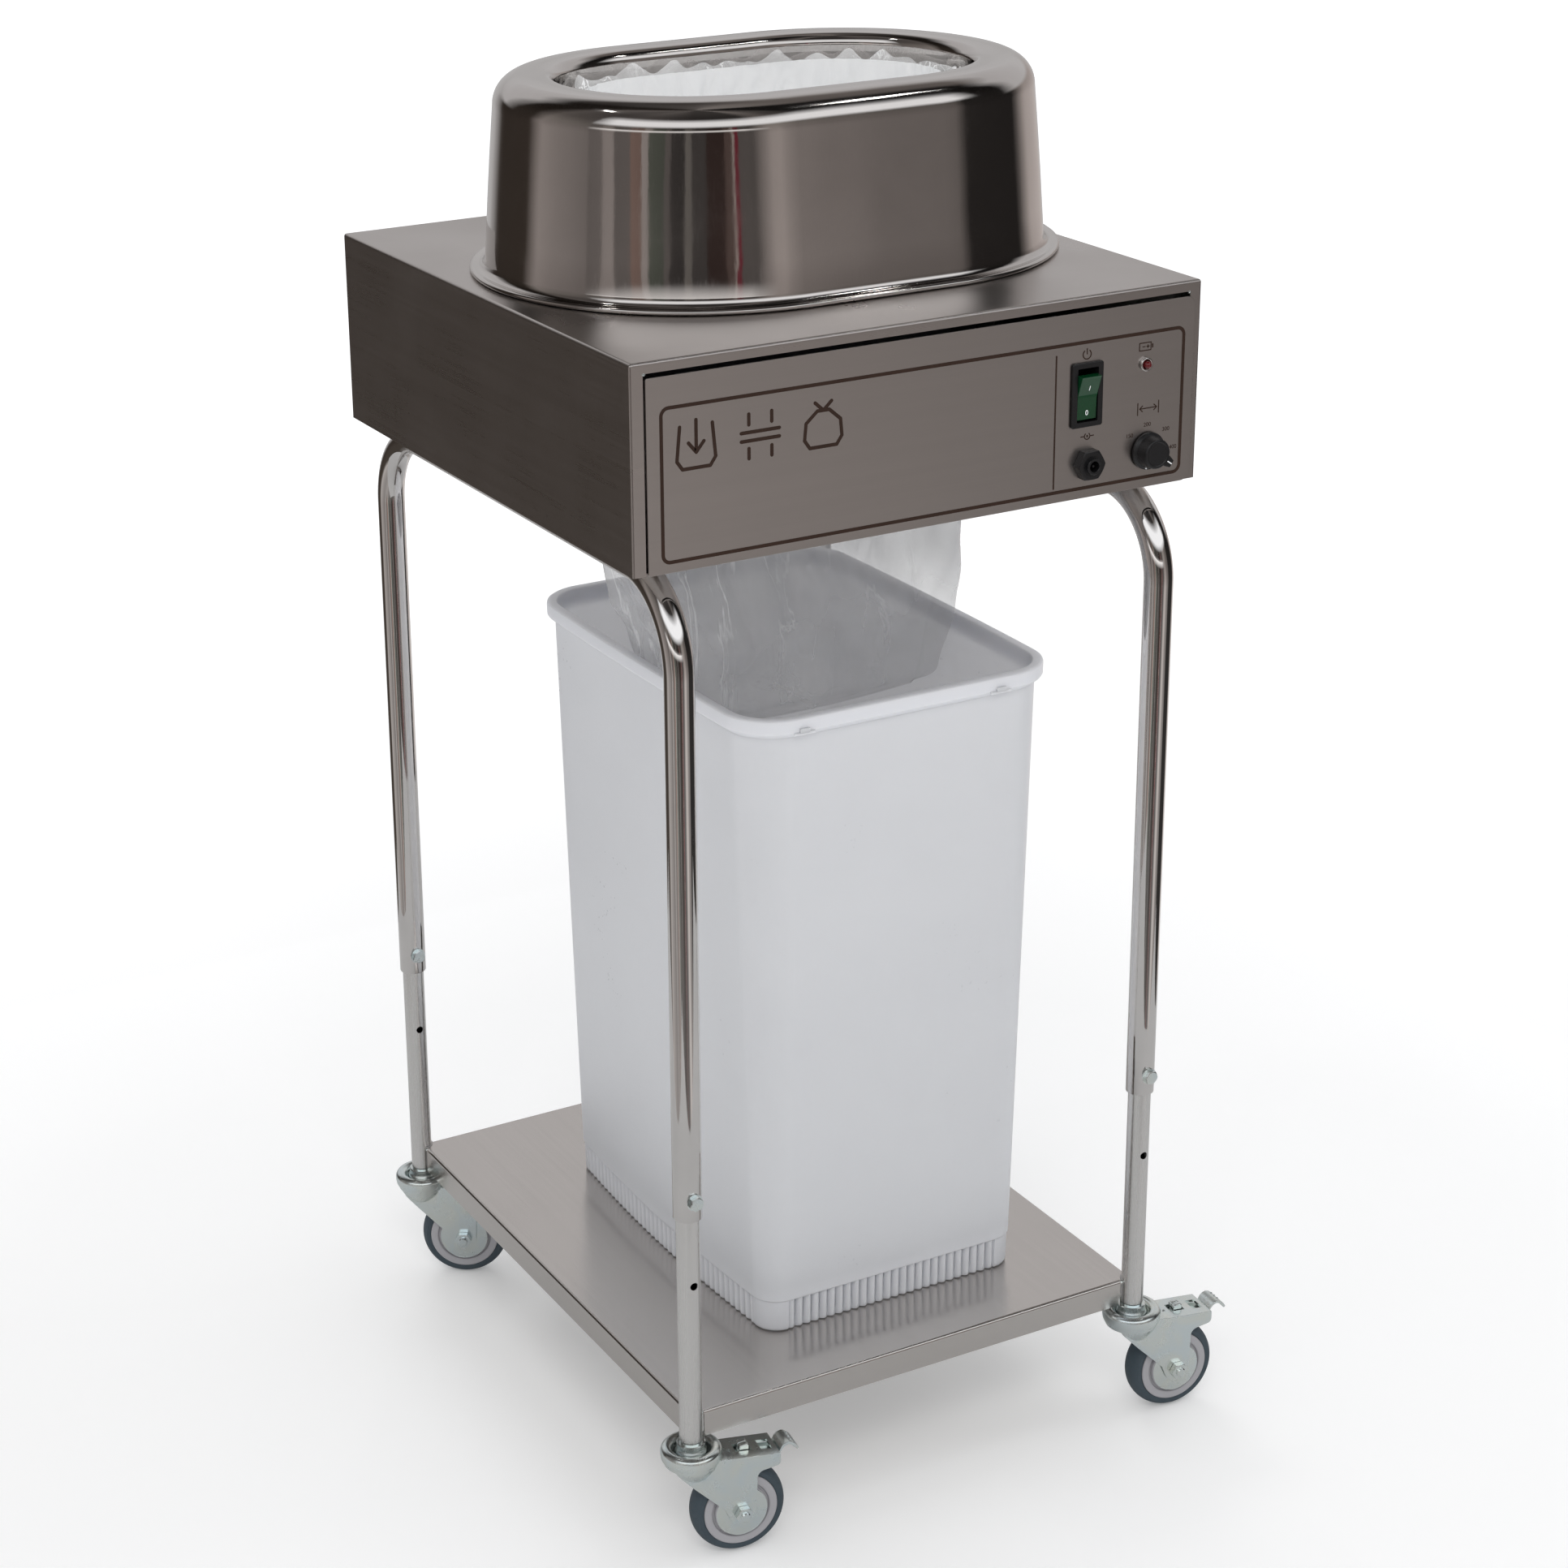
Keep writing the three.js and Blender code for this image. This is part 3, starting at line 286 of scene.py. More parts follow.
M_GATHERED = clear_film("gathered film", (0.85, 0.86, 0.87), 0.2, 1.0, (44, 44, 18), 1, 0.3)
M_THROAT = clear_film("film funnel", (0.95, 0.955, 0.96), 1.4, 0.3, (24, 24, 8))


# ---- Shapes, in millimetres. A shape is a mesh; a piece is an object in the scene.
def in_scene(name, data):
    made = bpy.data.objects.new(name, data)
    bpy.context.scene.collection.objects.link(made)
    return made


def spun(angle, axis="Z"):
    """A turn in degrees about an axis."""
    return Matrix.Rotation(math.radians(angle), 4, axis)


def at(x=0.0, y=0.0, z=0.0, turn=0.0):
    return Matrix.Translation((x, y, z)) @ spun(turn)


Y_AXIS = spun(-90, "X")
FACING = spun(90, "X")


def arc(cx, cy, radius, start, end, steps):
    turn = math.radians(end - start) / steps
    first = math.radians(start)
    return [(cx + radius * math.cos(first + i * turn), cy + radius * math.sin(first + i * turn))
            for i in range(steps + 1)]


def shape(points, faces):
    mesh = bpy.data.meshes.new("shape")
    mesh.from_pydata([tuple(p) for p in points], [], [tuple(f) for f in faces])
    made = bmesh.new()
    made.from_mesh(mesh)
    bmesh.ops.remove_doubles(made, verts=made.verts, dist=1e-4)
    bmesh.ops.recalc_face_normals(made, faces=made.faces)
    made.to_mesh(mesh)
    made.free()
    return mesh


def moved(mesh, matrix):
    copy = mesh.copy()
    copy.transform(matrix)
    if matrix.determinant() < 0:
        copy.flip_normals()
    return copy


def joined(*meshes):
    made = bmesh.new()
    for mesh in meshes:
        made.from_mesh(mesh)
    mesh = bpy.data.meshes.new("shape")
    made.to_mesh(mesh)
    made.free()
    return mesh


def ring_faces(rings, count, loop=False):
    faces = []
    for i in range(rings if loop else rings - 1):
        k = ((i + 1) % rings) * count
        for j in range(count):
            a, b = i * count + j, i * count + (j + 1) % count
            faces.append((a, b, k + (j + 1) % count, k + j))
    return faces


def loft(rings, capped=True, loop=False):
    """Rings of 3-D points, all with the same count, joined in order."""
    count = len(rings[0])
    points = [p for ring in rings for p in ring]
    faces = ring_faces(len(rings), count, loop)
    if capped and not loop:
        faces.append(tuple(range(count)))
        faces.append(tuple(range((len(rings) - 1) * count, len(rings) * count)))
    return shape(points, faces)


def level(outline, z):
    return [(x, y, z) for x, y in outline]


def lathe(profile, segments=64):
    """A (radius, height) profile about the Z axis; it may start and end on it."""
    rings = [[(r * math.cos(t), r * math.sin(t), z)
              for t in (2 * math.pi * k / segments for k in range(segments))]
             for r, z in profile]
    on_axis = profile[0][0] < 1e-6 and profile[-1][0] < 1e-6
    return loft(rings, capped=False, loop=not on_axis)


def prism(outline, z0, z1):
    return loft([level(outline, z0), level(outline, z1)])


def rounded(x0, x1, y0, y1, radius, steps):
    corners = ((x1, y1, 0), (x0, y1, 90), (x0, y0, 180), (x1, y0, 270))
    return [p for x, y, start in corners for p in arc(
        x - radius if x == x1 else x + radius, y - radius if y == y1 else y + radius,
        radius, start, start + 90, steps)]


def box(x0, x1, y0, y1, z0, z1):
    return prism([(x0, y0), (x1, y0), (x1, y1), (x0, y1)], z0, z1)


def inset_ring(x0, x1, y0, y1, inset, radius, z, least=0.05, steps=8):
    """A rounded rectangle drawn in from its sides by the inset, at a height."""
    return level(rounded(x0 + inset, x1 - inset, y0 + inset, y1 - inset,
                         max(radius - inset, least), steps), z)


def soft_block(x0, x1, y0, y1, z0, z1, side, edge):
    """A block with rounded upright corners and a rounded top and bottom edge."""
    turns = [(dx, z0 + edge + dz) for dx, dz in arc(0, 0, edge, -90, 0, 4)]
    turns += [(dx, z1 - edge + dz) for dx, dz in arc(0, 0, edge, 0, 90, 4)]
    return loft([inset_ring(x0, x1, y0, y1, edge - dx, side, z) for dx, z in turns])


def folded_box(x, y, bottom, top, corner, fold):
    """A block about the Z axis with its top edges folded over."""
    rings = [inset_ring(-x, x, -y, y, 0, corner, bottom)]
    rings += [inset_ring(-x, x, -y, y, fold - dx, corner, top - fold + dz)
              for dx, dz in arc(0, 0, fold, 0, 90, 5)]
    return loft(rings)


def oval(radius, steps=32):
    return (arc(HALF_SPINE, 0, radius, -90, 90, steps)
            + arc(-HALF_SPINE, 0, radius, 90, 270, steps))


def oval_sweep(profile, steps=36):
    """A (radius, height) profile carried round an oval."""
    return loft([level(oval(r, steps), z) for r, z in profile], loop=True)


def bar(radius, z0, z1, segments=48, bore=0.0, edge=0.3):
    """A rod or tube along Z with small chamfers."""
    outer = [(radius - edge, z0), (radius, z0 + edge), (radius, z1 - edge), (radius - edge, z1)]
    if bore:
        return lathe([*outer, (bore, z1), (bore, z0)], segments)
    return lathe([(0, z0), *outer, (0, z1)], segments)


def nut(across, z0, z1):
    """A hexagon whose corners are turned off at its top."""
    flat, turned = across / 2, across / 2 - 0.5
    steps = 8
    spread = [60 * k / steps for k in range(6 * steps)]
    reach = [flat / math.cos(math.radians(a % 60 - 30)) for a in spread]

    def ring(radii, heights):
        return [(r * math.cos(math.radians(a)), r * math.sin(math.radians(a)), z)
                for a, r, z in zip(spread, radii, heights)]

    count = len(spread)
    return loft([ring(reach, [z0] * count), ring(reach, [z1 - 0.6 * (r - turned) for r in reach]),
                 ring([turned] * count, [z1] * count)])


def evaluated(data, *modifiers):
    """The mesh of some data after modifiers, each a (kind, settings) pair."""
    holder = in_scene("holder", data)
    for kind, settings in modifiers:
        modifier = holder.modifiers.new(kind, kind)
        for key, value in settings.items():
            setattr(modifier, key, value)
    bpy.context.view_layer.update()
    graph = bpy.context.evaluated_depsgraph_get()
    result = bpy.data.meshes.new_from_object(holder.evaluated_get(graph))
    bpy.data.objects.remove(holder)
    return result


def bevelled(mesh, width, segments, angle):
    return evaluated(mesh, ("BEVEL", {
        "width": width, "segments": segments, "limit_method": "ANGLE",
        "angle_limit": math.radians(angle), "use_clamp_overlap": True,
    }))


def combined(mesh, others, operation="DIFFERENCE"):
    for other in others:
        tool = in_scene("tool", other)
        mesh = evaluated(mesh, ("BOOLEAN", {
            "operation": operation, "object": tool, "solver": "EXACT",
        }))
        bpy.data.objects.remove(tool)
    return mesh


def piece(name, mesh, material, body, place=None, stands_for=(), smooth=32, weighted=True):
    """Puts a shape in the scene in metres, riding on a body if one is named."""
    mesh = moved(mesh, MM @ (place or Matrix.Identity(4)))
    mesh.name = name
    mesh.materials.clear()
    mesh.materials.append(material)
    made = bmesh.new()
    made.from_mesh(mesh)
    for face in made.faces:
        face.smooth = True
        face.material_index = 0
    limit = math.radians(smooth)
    for edge in made.edges:
        edge.smooth = len(edge.link_faces) == 2 and edge.calc_face_angle(0) < limit
    made.to_mesh(mesh)
    made.free()
    obj = in_scene(name, mesh)
    if weighted:
        obj.modifiers.new("normals", "WEIGHTED_NORMAL").keep_sharp = True
    if body:
        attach(obj, body)
    if stands_for:
        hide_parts(*stands_for)
    return obj


# ---- Camera, at the photograph's view
CAMERA_PLACE = (-1200.6, -2112.5, 1481.7)
CAMERA_HEADING, CAMERA_TILT, CAMERA_ROLL = -27.48, -19.85, -1.11

camera = in_scene("camera", bpy.data.cameras.new("camera"))
camera.data.sensor_width = 36
camera.data.lens = 74.8
camera.data.shift_x, camera.data.shift_y = 0.0893, -0.0716
camera.data.clip_end = 60
camera.matrix_world = (Matrix.Translation(MM @ Vector(CAMERA_PLACE)) @ spun(CAMERA_HEADING)
                       @ spun(90 + CAMERA_TILT, "X") @ spun(CAMERA_ROLL))
bpy.context.scene.camera = camera


# ---- Lower stand: shelf and legs
def make_shelf():
    bottom, fold = SHELF_TOP - SHELF_LIP, 2.6
    tools = [box(-LEG_X + SHEET, LEG_X - SHEET, -LEG_Y + SHEET, LEG_Y - SHEET,
                 bottom - 5, SHELF_TOP - SHEET)]
    for _, x, y, _, _ in CASTORS:
        tools += [moved(bar(LOWER_TUBE_R + wider, bottom - 5, end), at(x, y))
                  for wider, end in ((0.3, SHELF_TOP + 5), (2.8, SHELF_TOP - fold))]
    pan = combined(folded_box(LEG_X, LEG_Y, bottom, SHELF_TOP, 1.2, fold), tools)
    piece("shelf_pan", pan, M_TOP, "stand", stands_for=["shelf"])
    # A weld bead round each leg, and a spot of weld on each edge beside it
    spot = lathe([(0, -1.4), (1.3, -0.9), (1.7, 0), (1.2, 0.8), (0, 1.1)], 20)
    foot, reach = LOWER_TUBE_R + 0.1, LOWER_TUBE_R + 1.2
    bead = lathe([(foot + 1.3 * dr, SHELF_TOP - 0.2 + 1.1 * dz)
                  for dr, dz in arc(0, 0, 1, 0, 90, 4)] + [(foot, SHELF_TOP - 0.2)], 48)
    over_shelf = box(-LEG_X, LEG_X, -LEG_Y, LEG_Y, 0, 500)
    for name, x, y, _, _ in CASTORS:
        inward_x, inward_y = math.copysign(1, -x), math.copysign(1, -y)
        spots = [moved(spot, at(x + inward_x * dx, y + inward_y * dy, SHELF_TOP - 1.4))
                 for dx, dy in ((reach, 1.2), (1.2, reach))]
        piece(f"weld_spots_{name}", joined(*spots), M_ZINC, "stand")
        trimmed = combined(moved(bead, at(x, y)), [over_shelf], "INTERSECT")
        piece(f"leg_weld_{name}", trimmed, M_INNER, "stand")


def make_legs():
    tube = bar(LOWER_TUBE_R, *LOWER_TUBE_SPAN, 56, LOWER_BORE_R, 0.4)
    holes = [moved(bar(3.1, -20, 0, 24), at(0, 0, LEG_BOLT_Z + k * HOLE_PITCH) @ Y_AXIS)
             for k in (-1, 0, 1, 2)]
    tube = combined(tube, holes)
    bolt = joined(
        nut(10, UPPER_TUBE_R + 1.1, UPPER_TUBE_R + 5),
        lathe([(3.1, UPPER_TUBE_R - 0.2), (6.4, UPPER_TUBE_R + 0.3), (6.4, UPPER_TUBE_R + 1.1),
               (3.1, UPPER_TUBE_R + 1.1)], 40),
        bar(3, LOWER_TUBE_R + 0.3, UPPER_TUBE_R + 1, 24, edge=0.4),
    )
    for name, x, y, _, _ in CASTORS:
        piece(f"inner_leg_{name}", tube, M_TUBE, "stand", at(x, y),
              [f"lower_leg_{name}"])
        turn = {"front_left": 14, "front_right": -8, "rear_left": 22, "rear_right": 3}[name]
        piece(f"clamp_bolt_{name}", bolt, M_ZINC, "head",
              at(x, y, LEG_BOLT_Z) @ FACING @ at(turn=turn), [f"leg_bolt_{name}"])


def make_hoops():
    radius, top = 65, HOUSING_BOTTOM - GAP - UPPER_TUBE_R
    low, side = top - radius, LEG_Y - radius
    steps = 24
    bend = [90 * i / steps for i in range(steps + 1)]
    stations = [((-LEG_Y, UPPER_TUBE_END + z), 90) for z in (0, 60, 200, 330)]
    stations += zip(arc(-side, low, radius, 180, 90, steps), [90 - a for a in bend])
    stations += [((y, top), 0) for y in (-100, -30, 30, 100)]
    stations += zip(arc(side, low, radius, 90, 0, steps), [-a for a in bend])
    stations += [((LEG_Y, UPPER_TUBE_END + z), -90) for z in (330, 200, 60, 0)]

    def ring(centre, heading, r):
        up = math.radians(heading + 90)
        return [(u, centre[0] + v * math.cos(up), centre[1] + v * math.sin(up))
                for u, v in arc(0, 0, r, 0, 360, 56)[:-1]]

    rings = [ring(*station, UPPER_TUBE_R) for station in stations]
    rings += [ring(*station, UPPER_BORE_R) for station in reversed(stations)]
    tube = bevelled(loft(rings, loop=True), 0.35, 2, 60)
    tools = [moved(bar(3.3, -20, 0, 24), at(0, y, LEG_BOLT_Z) @ Y_AXIS)
             for y in (-LEG_Y, LEG_Y)]
    tube = combined(tube, tools)
    for name, x in (("hoop_left", -LEG_X), ("hoop_right", LEG_X)):
        piece(f"tube_{name}", tube, M_CHROME, "head", at(x), [name],
              weighted=False)


# ---- Castors. Their frame's Z axis is the swivel axis, and the wheel trails along +X.
HEAD_BOTTOM, HEAD_R, HUB_R, WHEEL_HALF = 88, 23.5, 29.5, 11
DECK_START, DECK_TOP, DECK_SHEET, DECK_DROP = 24.5, 87, 2, 3.5


def side_prism(outline, y0, y1):
    """An outline in X and Z, pushed along Y."""
    return loft([[(x, y, z) for x, z in outline] for y in (y0, y1)])


def deck_z(x, end):
    return DECK_TOP - DECK_DROP * (x - DECK_START) / (end - DECK_START)


def castor_fork(brake):
    end = 67 if brake else 52
    top = HEAD_BOTTOM - GAP
    outline = [(-15, top), (-15, 83), (-13.5, 79), (-9.5, 74.5), (-2, 66.5), (22, 42.5),
               *arc(TRAIL, WHEEL_R, 11, 205, 350, 12), (47.4, 50), (48, 62),
               *arc(54, 65.5, 6, 180, 100, 5),
               (end - 4, 73), *arc(end - 4, 77, 4, -80, 0, 4),
               (end, deck_z(end, end)), (DECK_START, DECK_TOP), (DECK_START, top)]
    outer = bevelled(side_prism(outline, -15, 15), 2.6, 4, 40)
    dome = lathe([(0, top), (21, top), (21.5, top - 1), (21.5, 84.5), (20.3, 81), (15, 73),
                  (0, 73)])
    outer = combined(outer, [dome], "UNION")
    hollow = side_prism([(-40, 0), (end + 10, 0), (end + 10, deck_z(end + 10, end) - DECK_SHEET),
                         (DECK_START, DECK_TOP - DECK_SHEET), (DECK_START, 83), (-40, 83)],
                        -13, 13)
    axle_bore = moved(bar(4.3, -20, 20, 40), at(TRAIL, 0, WHEEL_R) @ Y_AXIS)
    tools = [bevelled(hollow, 1.2, 2, 40), axle_bore]
    slots = [(34, 47, 5.5), (54, 63, 6.5)] if brake else [(34, 41, 3.5)]
    tools += [box(a, b, -w, w, 78, 95) for a, b, w in slots]
    return bevelled(combined(outer, tools), 0.3, 1, 60)


def castor_head():
    under, seat = SHELF_TOP - SHELF_LIP - GAP, LOWER_TUBE_SPAN[0] - GAP
    bore, collar = LOWER_BORE_R - GAP, LOWER_TUBE_R - GAP
    profile = [(0, 125), (bore - 1, 125), (bore, 124), (bore, seat),
               (collar, seat), (collar, under), (10.4, under),
               (11, under - 0.6), (11, 97.2), (11.5, 95.6), (12.6, 94.2), (12.9, 92.2),
               (14.2, 90.6), (15.2, 90.4)]
    profile += arc(HEAD_R - 4.6, HEAD_BOTTOM + 4.6, 4.6, 165, 0, 12)
    profile += [(HEAD_R - 0.1, 90), (HEAD_R - 0.5, 87.4), (HEAD_R - 1.2, 85.8),
                (HEAD_R - 2.2, 85.2), (22.3, 86.4), (22.2, HEAD_BOTTOM), (0, HEAD_BOTTOM)]
    return lathe(profile, 72)


def castor_pedal():
    lever = [(35, 80.5), (58, 78), (64, 77.5), (66.8, 78.1), (68.8, 79.6), (70.4, 82.2),
             (72.4, 84.4), (75.4, 85.5), (78.0, 84.4), (80.4, 82.0), (82.5, 79.5), (84, 80.8),
             (82.4, 83.4), (80, 85.8), (77.6, 87.5), (75.2, 88), (72.2, 87.1), (69.9, 85),
             (68.2, 81.8), (66.4, 80.2), (64, 79.6), (58, 80.1), (35, 82.5)]
    plate = bevelled(side_prism(lever, -9, 9), 0.6, 2, 40)
    tab = []
    for side in (-1, 1):
        nose = [(38, 81), (45, 80.6), (45.2, 88.4), *arc(43, 88.4, 2.2, 0, 90, 4),
                *arc(39.6, 87.6, 2.6, 100, 180, 4), (37, 84)]
        tab.append(bevelled(side_prism(nose, side * 2.4 - 2.15, side * 2.4 + 2.15), 0.9, 3, 40))
    rib = lathe([(0, -1.5), (0.9, -1.2), (1.15, -0.4), (1.15, 0.4), (0.9, 1.2), (0, 1.5)], 16)
    ribs = [moved(rib, at(77.9, y, 86.6) @ spun(54, "Y")) for y in (-4.4, 0, 4.4)]
    return plate, joined(*tab), joined(*ribs)


def castor_tyre():
    half = WHEEL_HALF
    turns = [math.radians(66 - 132 * i / 18) for i in range(19)]
    tread = [(WHEEL_R - 7 + 7 * math.cos(a), half * math.sin(a)) for a in turns]
    profile = [(HUB_R + 0.3, half - 1.6), (HUB_R + 1.2, half - 1.2), *tread,
               (HUB_R + 1.2, 1.2 - half), (HUB_R + 0.3, 1.6 - half)]
    return lathe(profile, 96)


def castor_hub():
    half = WHEEL_HALF
    face = [(4.25, half + 1), (20.4, half + 1), (21, half + 0.4), (21.0, half - 2.6),
            (22.6, half - 2.6), (23.4, half - 0.9), (24.4, half - 0.35), (28.6, half - 0.35),
            (29.5, half - 1.1)]
    return lathe(face + [(r, -z) for r, z in reversed(face)], 96)


def castor_bolt():
    shank = lathe([(0, -15.5), (4, -15.5), (4, 21.7), (3.2, 22.5), (0, 22.5)], 32)
    return joined(shank, nut(12.5, 15.3, 20.6), moved(nut(12.5, 15.3, 20.8), spun(180, "X")))


def washer(inner, outer, z0, z1):
    return lathe([(inner, z0), (outer - 0.3, z0), (outer, z0 + 0.3), (outer, z1 - 0.3),
                  (outer - 0.3, z1), (inner, z1)], 56)


def make_castors():
    head, tyre, hub, bolt = castor_head(), castor_tyre(), castor_hub(), castor_bolt()
    forks = {True: castor_fork(True), False: castor_fork(False)}
    plate, tab, ribs = castor_pedal()
    cover = washer(4.6, 20.6, 12.02, 12.5)
    dimple = lathe([(0, 0.9), (0.9, 0.7), (1.5, 0.2), (1.6, -0.4), (0, -0.4)], 20)
    for name, x, y, heading, brake in CASTORS:
        place = at(x, y, 0, heading)
        wheel = place @ at(TRAIL, 0, WHEEL_R) @ FACING
        swivel, rolling = f"castor_{name}", f"wheel_{name}"
        node = f"castor_{name}_"
        piece(f"swivel_head_{name}", head, M_ZINC, "stand", place, [node + "head"])
        piece(f"fork_{name}", forks[brake], M_ZINC, swivel, place, [node + "fork"])
        piece(f"axle_{name}", bolt, M_ZINC, swivel, wheel, [node + "axle_bolt"])
        piece(f"tyre_{name}", tyre, M_TYRE, rolling, wheel, [node + "tyre"])
        piece(f"hub_{name}", hub, M_HUB, rolling, wheel, [node + "hub"])
        for side in (-1, 1):
            piece(f"thread_guard_{name}_{'nf'[side > 0]}", cover, M_ZINC, rolling,
                  wheel @ Matrix.Scale(side, 4, (0, 0, 1)))
        if brake:
            piece(f"deck_pip_{name}", dimple, M_ZINC, swivel,
                  place @ at(29, -2, DECK_TOP - 0.4))
            body = f"brake_{name}"
            piece(f"brake_lever_{name}", plate, M_ZINC, body, place,
                  [node + "brake_pedal"])
            piece(f"brake_tab_{name}", tab, M_ZINC, body, place)
            piece(f"brake_grip_{name}", ribs, M_ZINC, body, place)


# ---- Housing, panel and controls
PANEL_LEFT, PANEL_RIGHT, PANEL_TOP = -224, 229, 928
PANEL_Y = -HOUSING_Y - GAP - SHEET
SWITCH_X, SWITCH_Z, SWITCH_W, SWITCH_H = 134, 867, 27, 48
LAMP_X, LAMP_Z = 185.5, 882.5
SOCKET_X, SOCKET_Z = 136, 815
DIAL_X, DIAL_Z, POINTER = 189.5, 817, -35


def make_housing():
    x, y = HOUSING_X, HOUSING_Y
    shell = folded_box(x, y, HOUSING_BOTTOM, HOUSING_TOP, 1.6, 2.4)
    tools = [
        box(-x + SHEET, x - SHEET, -y + SHEET, y - SHEET, HOUSING_BOTTOM - 5,
            HOUSING_TOP - SHEET),
        box(-x + 10, x - 10, -y - 5, -y + SHEET + 1, HOUSING_BOTTOM - 5, HOUSING_TOP - 8),
        moved(prism(oval(92), HOUSING_TOP - 20, HOUSING_TOP + 20), at(FILM_X)),
    ]
    piece("housing_cover", combined(shell, tools), M_HOUSING, "head",
          stands_for=["housing_shell"])
    weld = lathe([(0, -1.2), (1.3, -0.8), (1.7, 0), (1.2, 0.7), (0, 1.0)], 20)
    for side, name in ((-1, "left"), (1, "right")):
        piece(f"corner_weld_{name}", weld, M_ZINC, "head",
              at(side * (x - 10.8), -y + 0.6, HOUSING_TOP - 8.4))


def panel_place(x, z):
    """A frame on the panel's face whose Z axis points out towards the user."""
    return at(x, PANEL_Y, z) @ FACING


PRINT_RISE = 0.12  # how far the printing stands up from the panel


def print_ring(x0, x1, z0, z1, radius, width):
    return loft([inset_ring(x0, x1, z0, z1, inset, radius, out, 0.2, 10)
                 for inset, out in ((0, 0), (0, PRINT_RISE), (width, PRINT_RISE), (width, 0))],
                loop=True)


def stroke(points, width):
    """A printed line of even width through points in the panel's plane."""
    parts = []
    for k, ((ax, ay), (bx, by)) in enumerate(zip(points, points[1:])):
        length = math.hypot(bx - ax, by - ay)
        angle = math.degrees(math.atan2(by - ay, bx - ax))
        ends = [*arc(length, 0, width / 2, -90, 90, 6), *arc(0, 0, width / 2, 90, 270, 6)]
        # Each run stands a little higher than the last, so no two faces coincide
        parts.append(moved(prism(ends, 0, PRINT_RISE + 0.004 * k), at(ax, ay, 0, angle)))
    return joined(*parts)


def make_panel():
    outline = [*arc(PANEL_RIGHT - 8, PANEL_TOP - 8, 8, 0, 90, 8),
               *arc(PANEL_LEFT + 1.5, PANEL_TOP - 1.5, 1.5, 90, 180, 3),
               *arc(PANEL_LEFT + 1.5, HOUSING_BOTTOM + 1.5, 1.5, 180, 270, 3),
               *arc(PANEL_RIGHT - 8, HOUSING_BOTTOM + 8, 8, 270, 360, 8)]
    plate = bevelled(prism(outline, -SHEET, 0), 0.35, 2, 60)
    low, high = HOUSING_BOTTOM + 3, PANEL_TOP - 3
    folds = [box(PANEL_LEFT + 0.6, PANEL_LEFT + 2, low, high, -14, -SHEET),
             box(222, 223.4, low, high, -14, -SHEET)]
    tools = [
        box(SWITCH_X - 10.8, SWITCH_X + 10.8, SWITCH_Z - 21.8, SWITCH_Z + 21.8, -5, 5),
        moved(bar(4.2, -5, 5), at(LAMP_X, LAMP_Z)),
        moved(bar(8.3, -5, 5), at(SOCKET_X, SOCKET_Z)),
        moved(bar(4.3, -5, 5), at(DIAL_X, DIAL_Z)),
    ]
    piece("panel_plate", joined(combined(plate, tools), *folds), M_PANEL, "head",
          panel_place(0, 0), ["front_panel"])
    lines = joined(
        print_ring(-214, 220.5, 795.5, 907, 7, 2.6),
        stroke([(107.5, 800), (107.5, 898.5)], 1.3),
    )
    piece("panel_print_border", lines, M_PRINT, "head", panel_place(0, 0))
    piece("panel_print_signs", panel_signs(), M_PRINT, "head",
          panel_place(0, 0))
    numbers = (("150", 141, 20.5), ("200", 91, 19.5), ("300", 40, 21.5), ("400", -2, 23.5))
    for text, angle, reach in numbers:
        turn = math.radians(angle)
        x, z = DIAL_X + reach * math.cos(turn), DIAL_Z + reach * math.sin(turn)
        piece(f"dial_number_{text}", lettering(text, 4.4), M_PRINT, "head",
              panel_place(x, z))


def lettering(text, size):
    curve = bpy.data.curves.new("lettering", "FONT")
    curve.body = text
    curve.size = size
    curve.align_x = curve.align_y = "CENTER"
    curve.extrude = PRINT_RISE / 2
    return moved(evaluated(curve), at(0, 0, PRINT_RISE / 2))


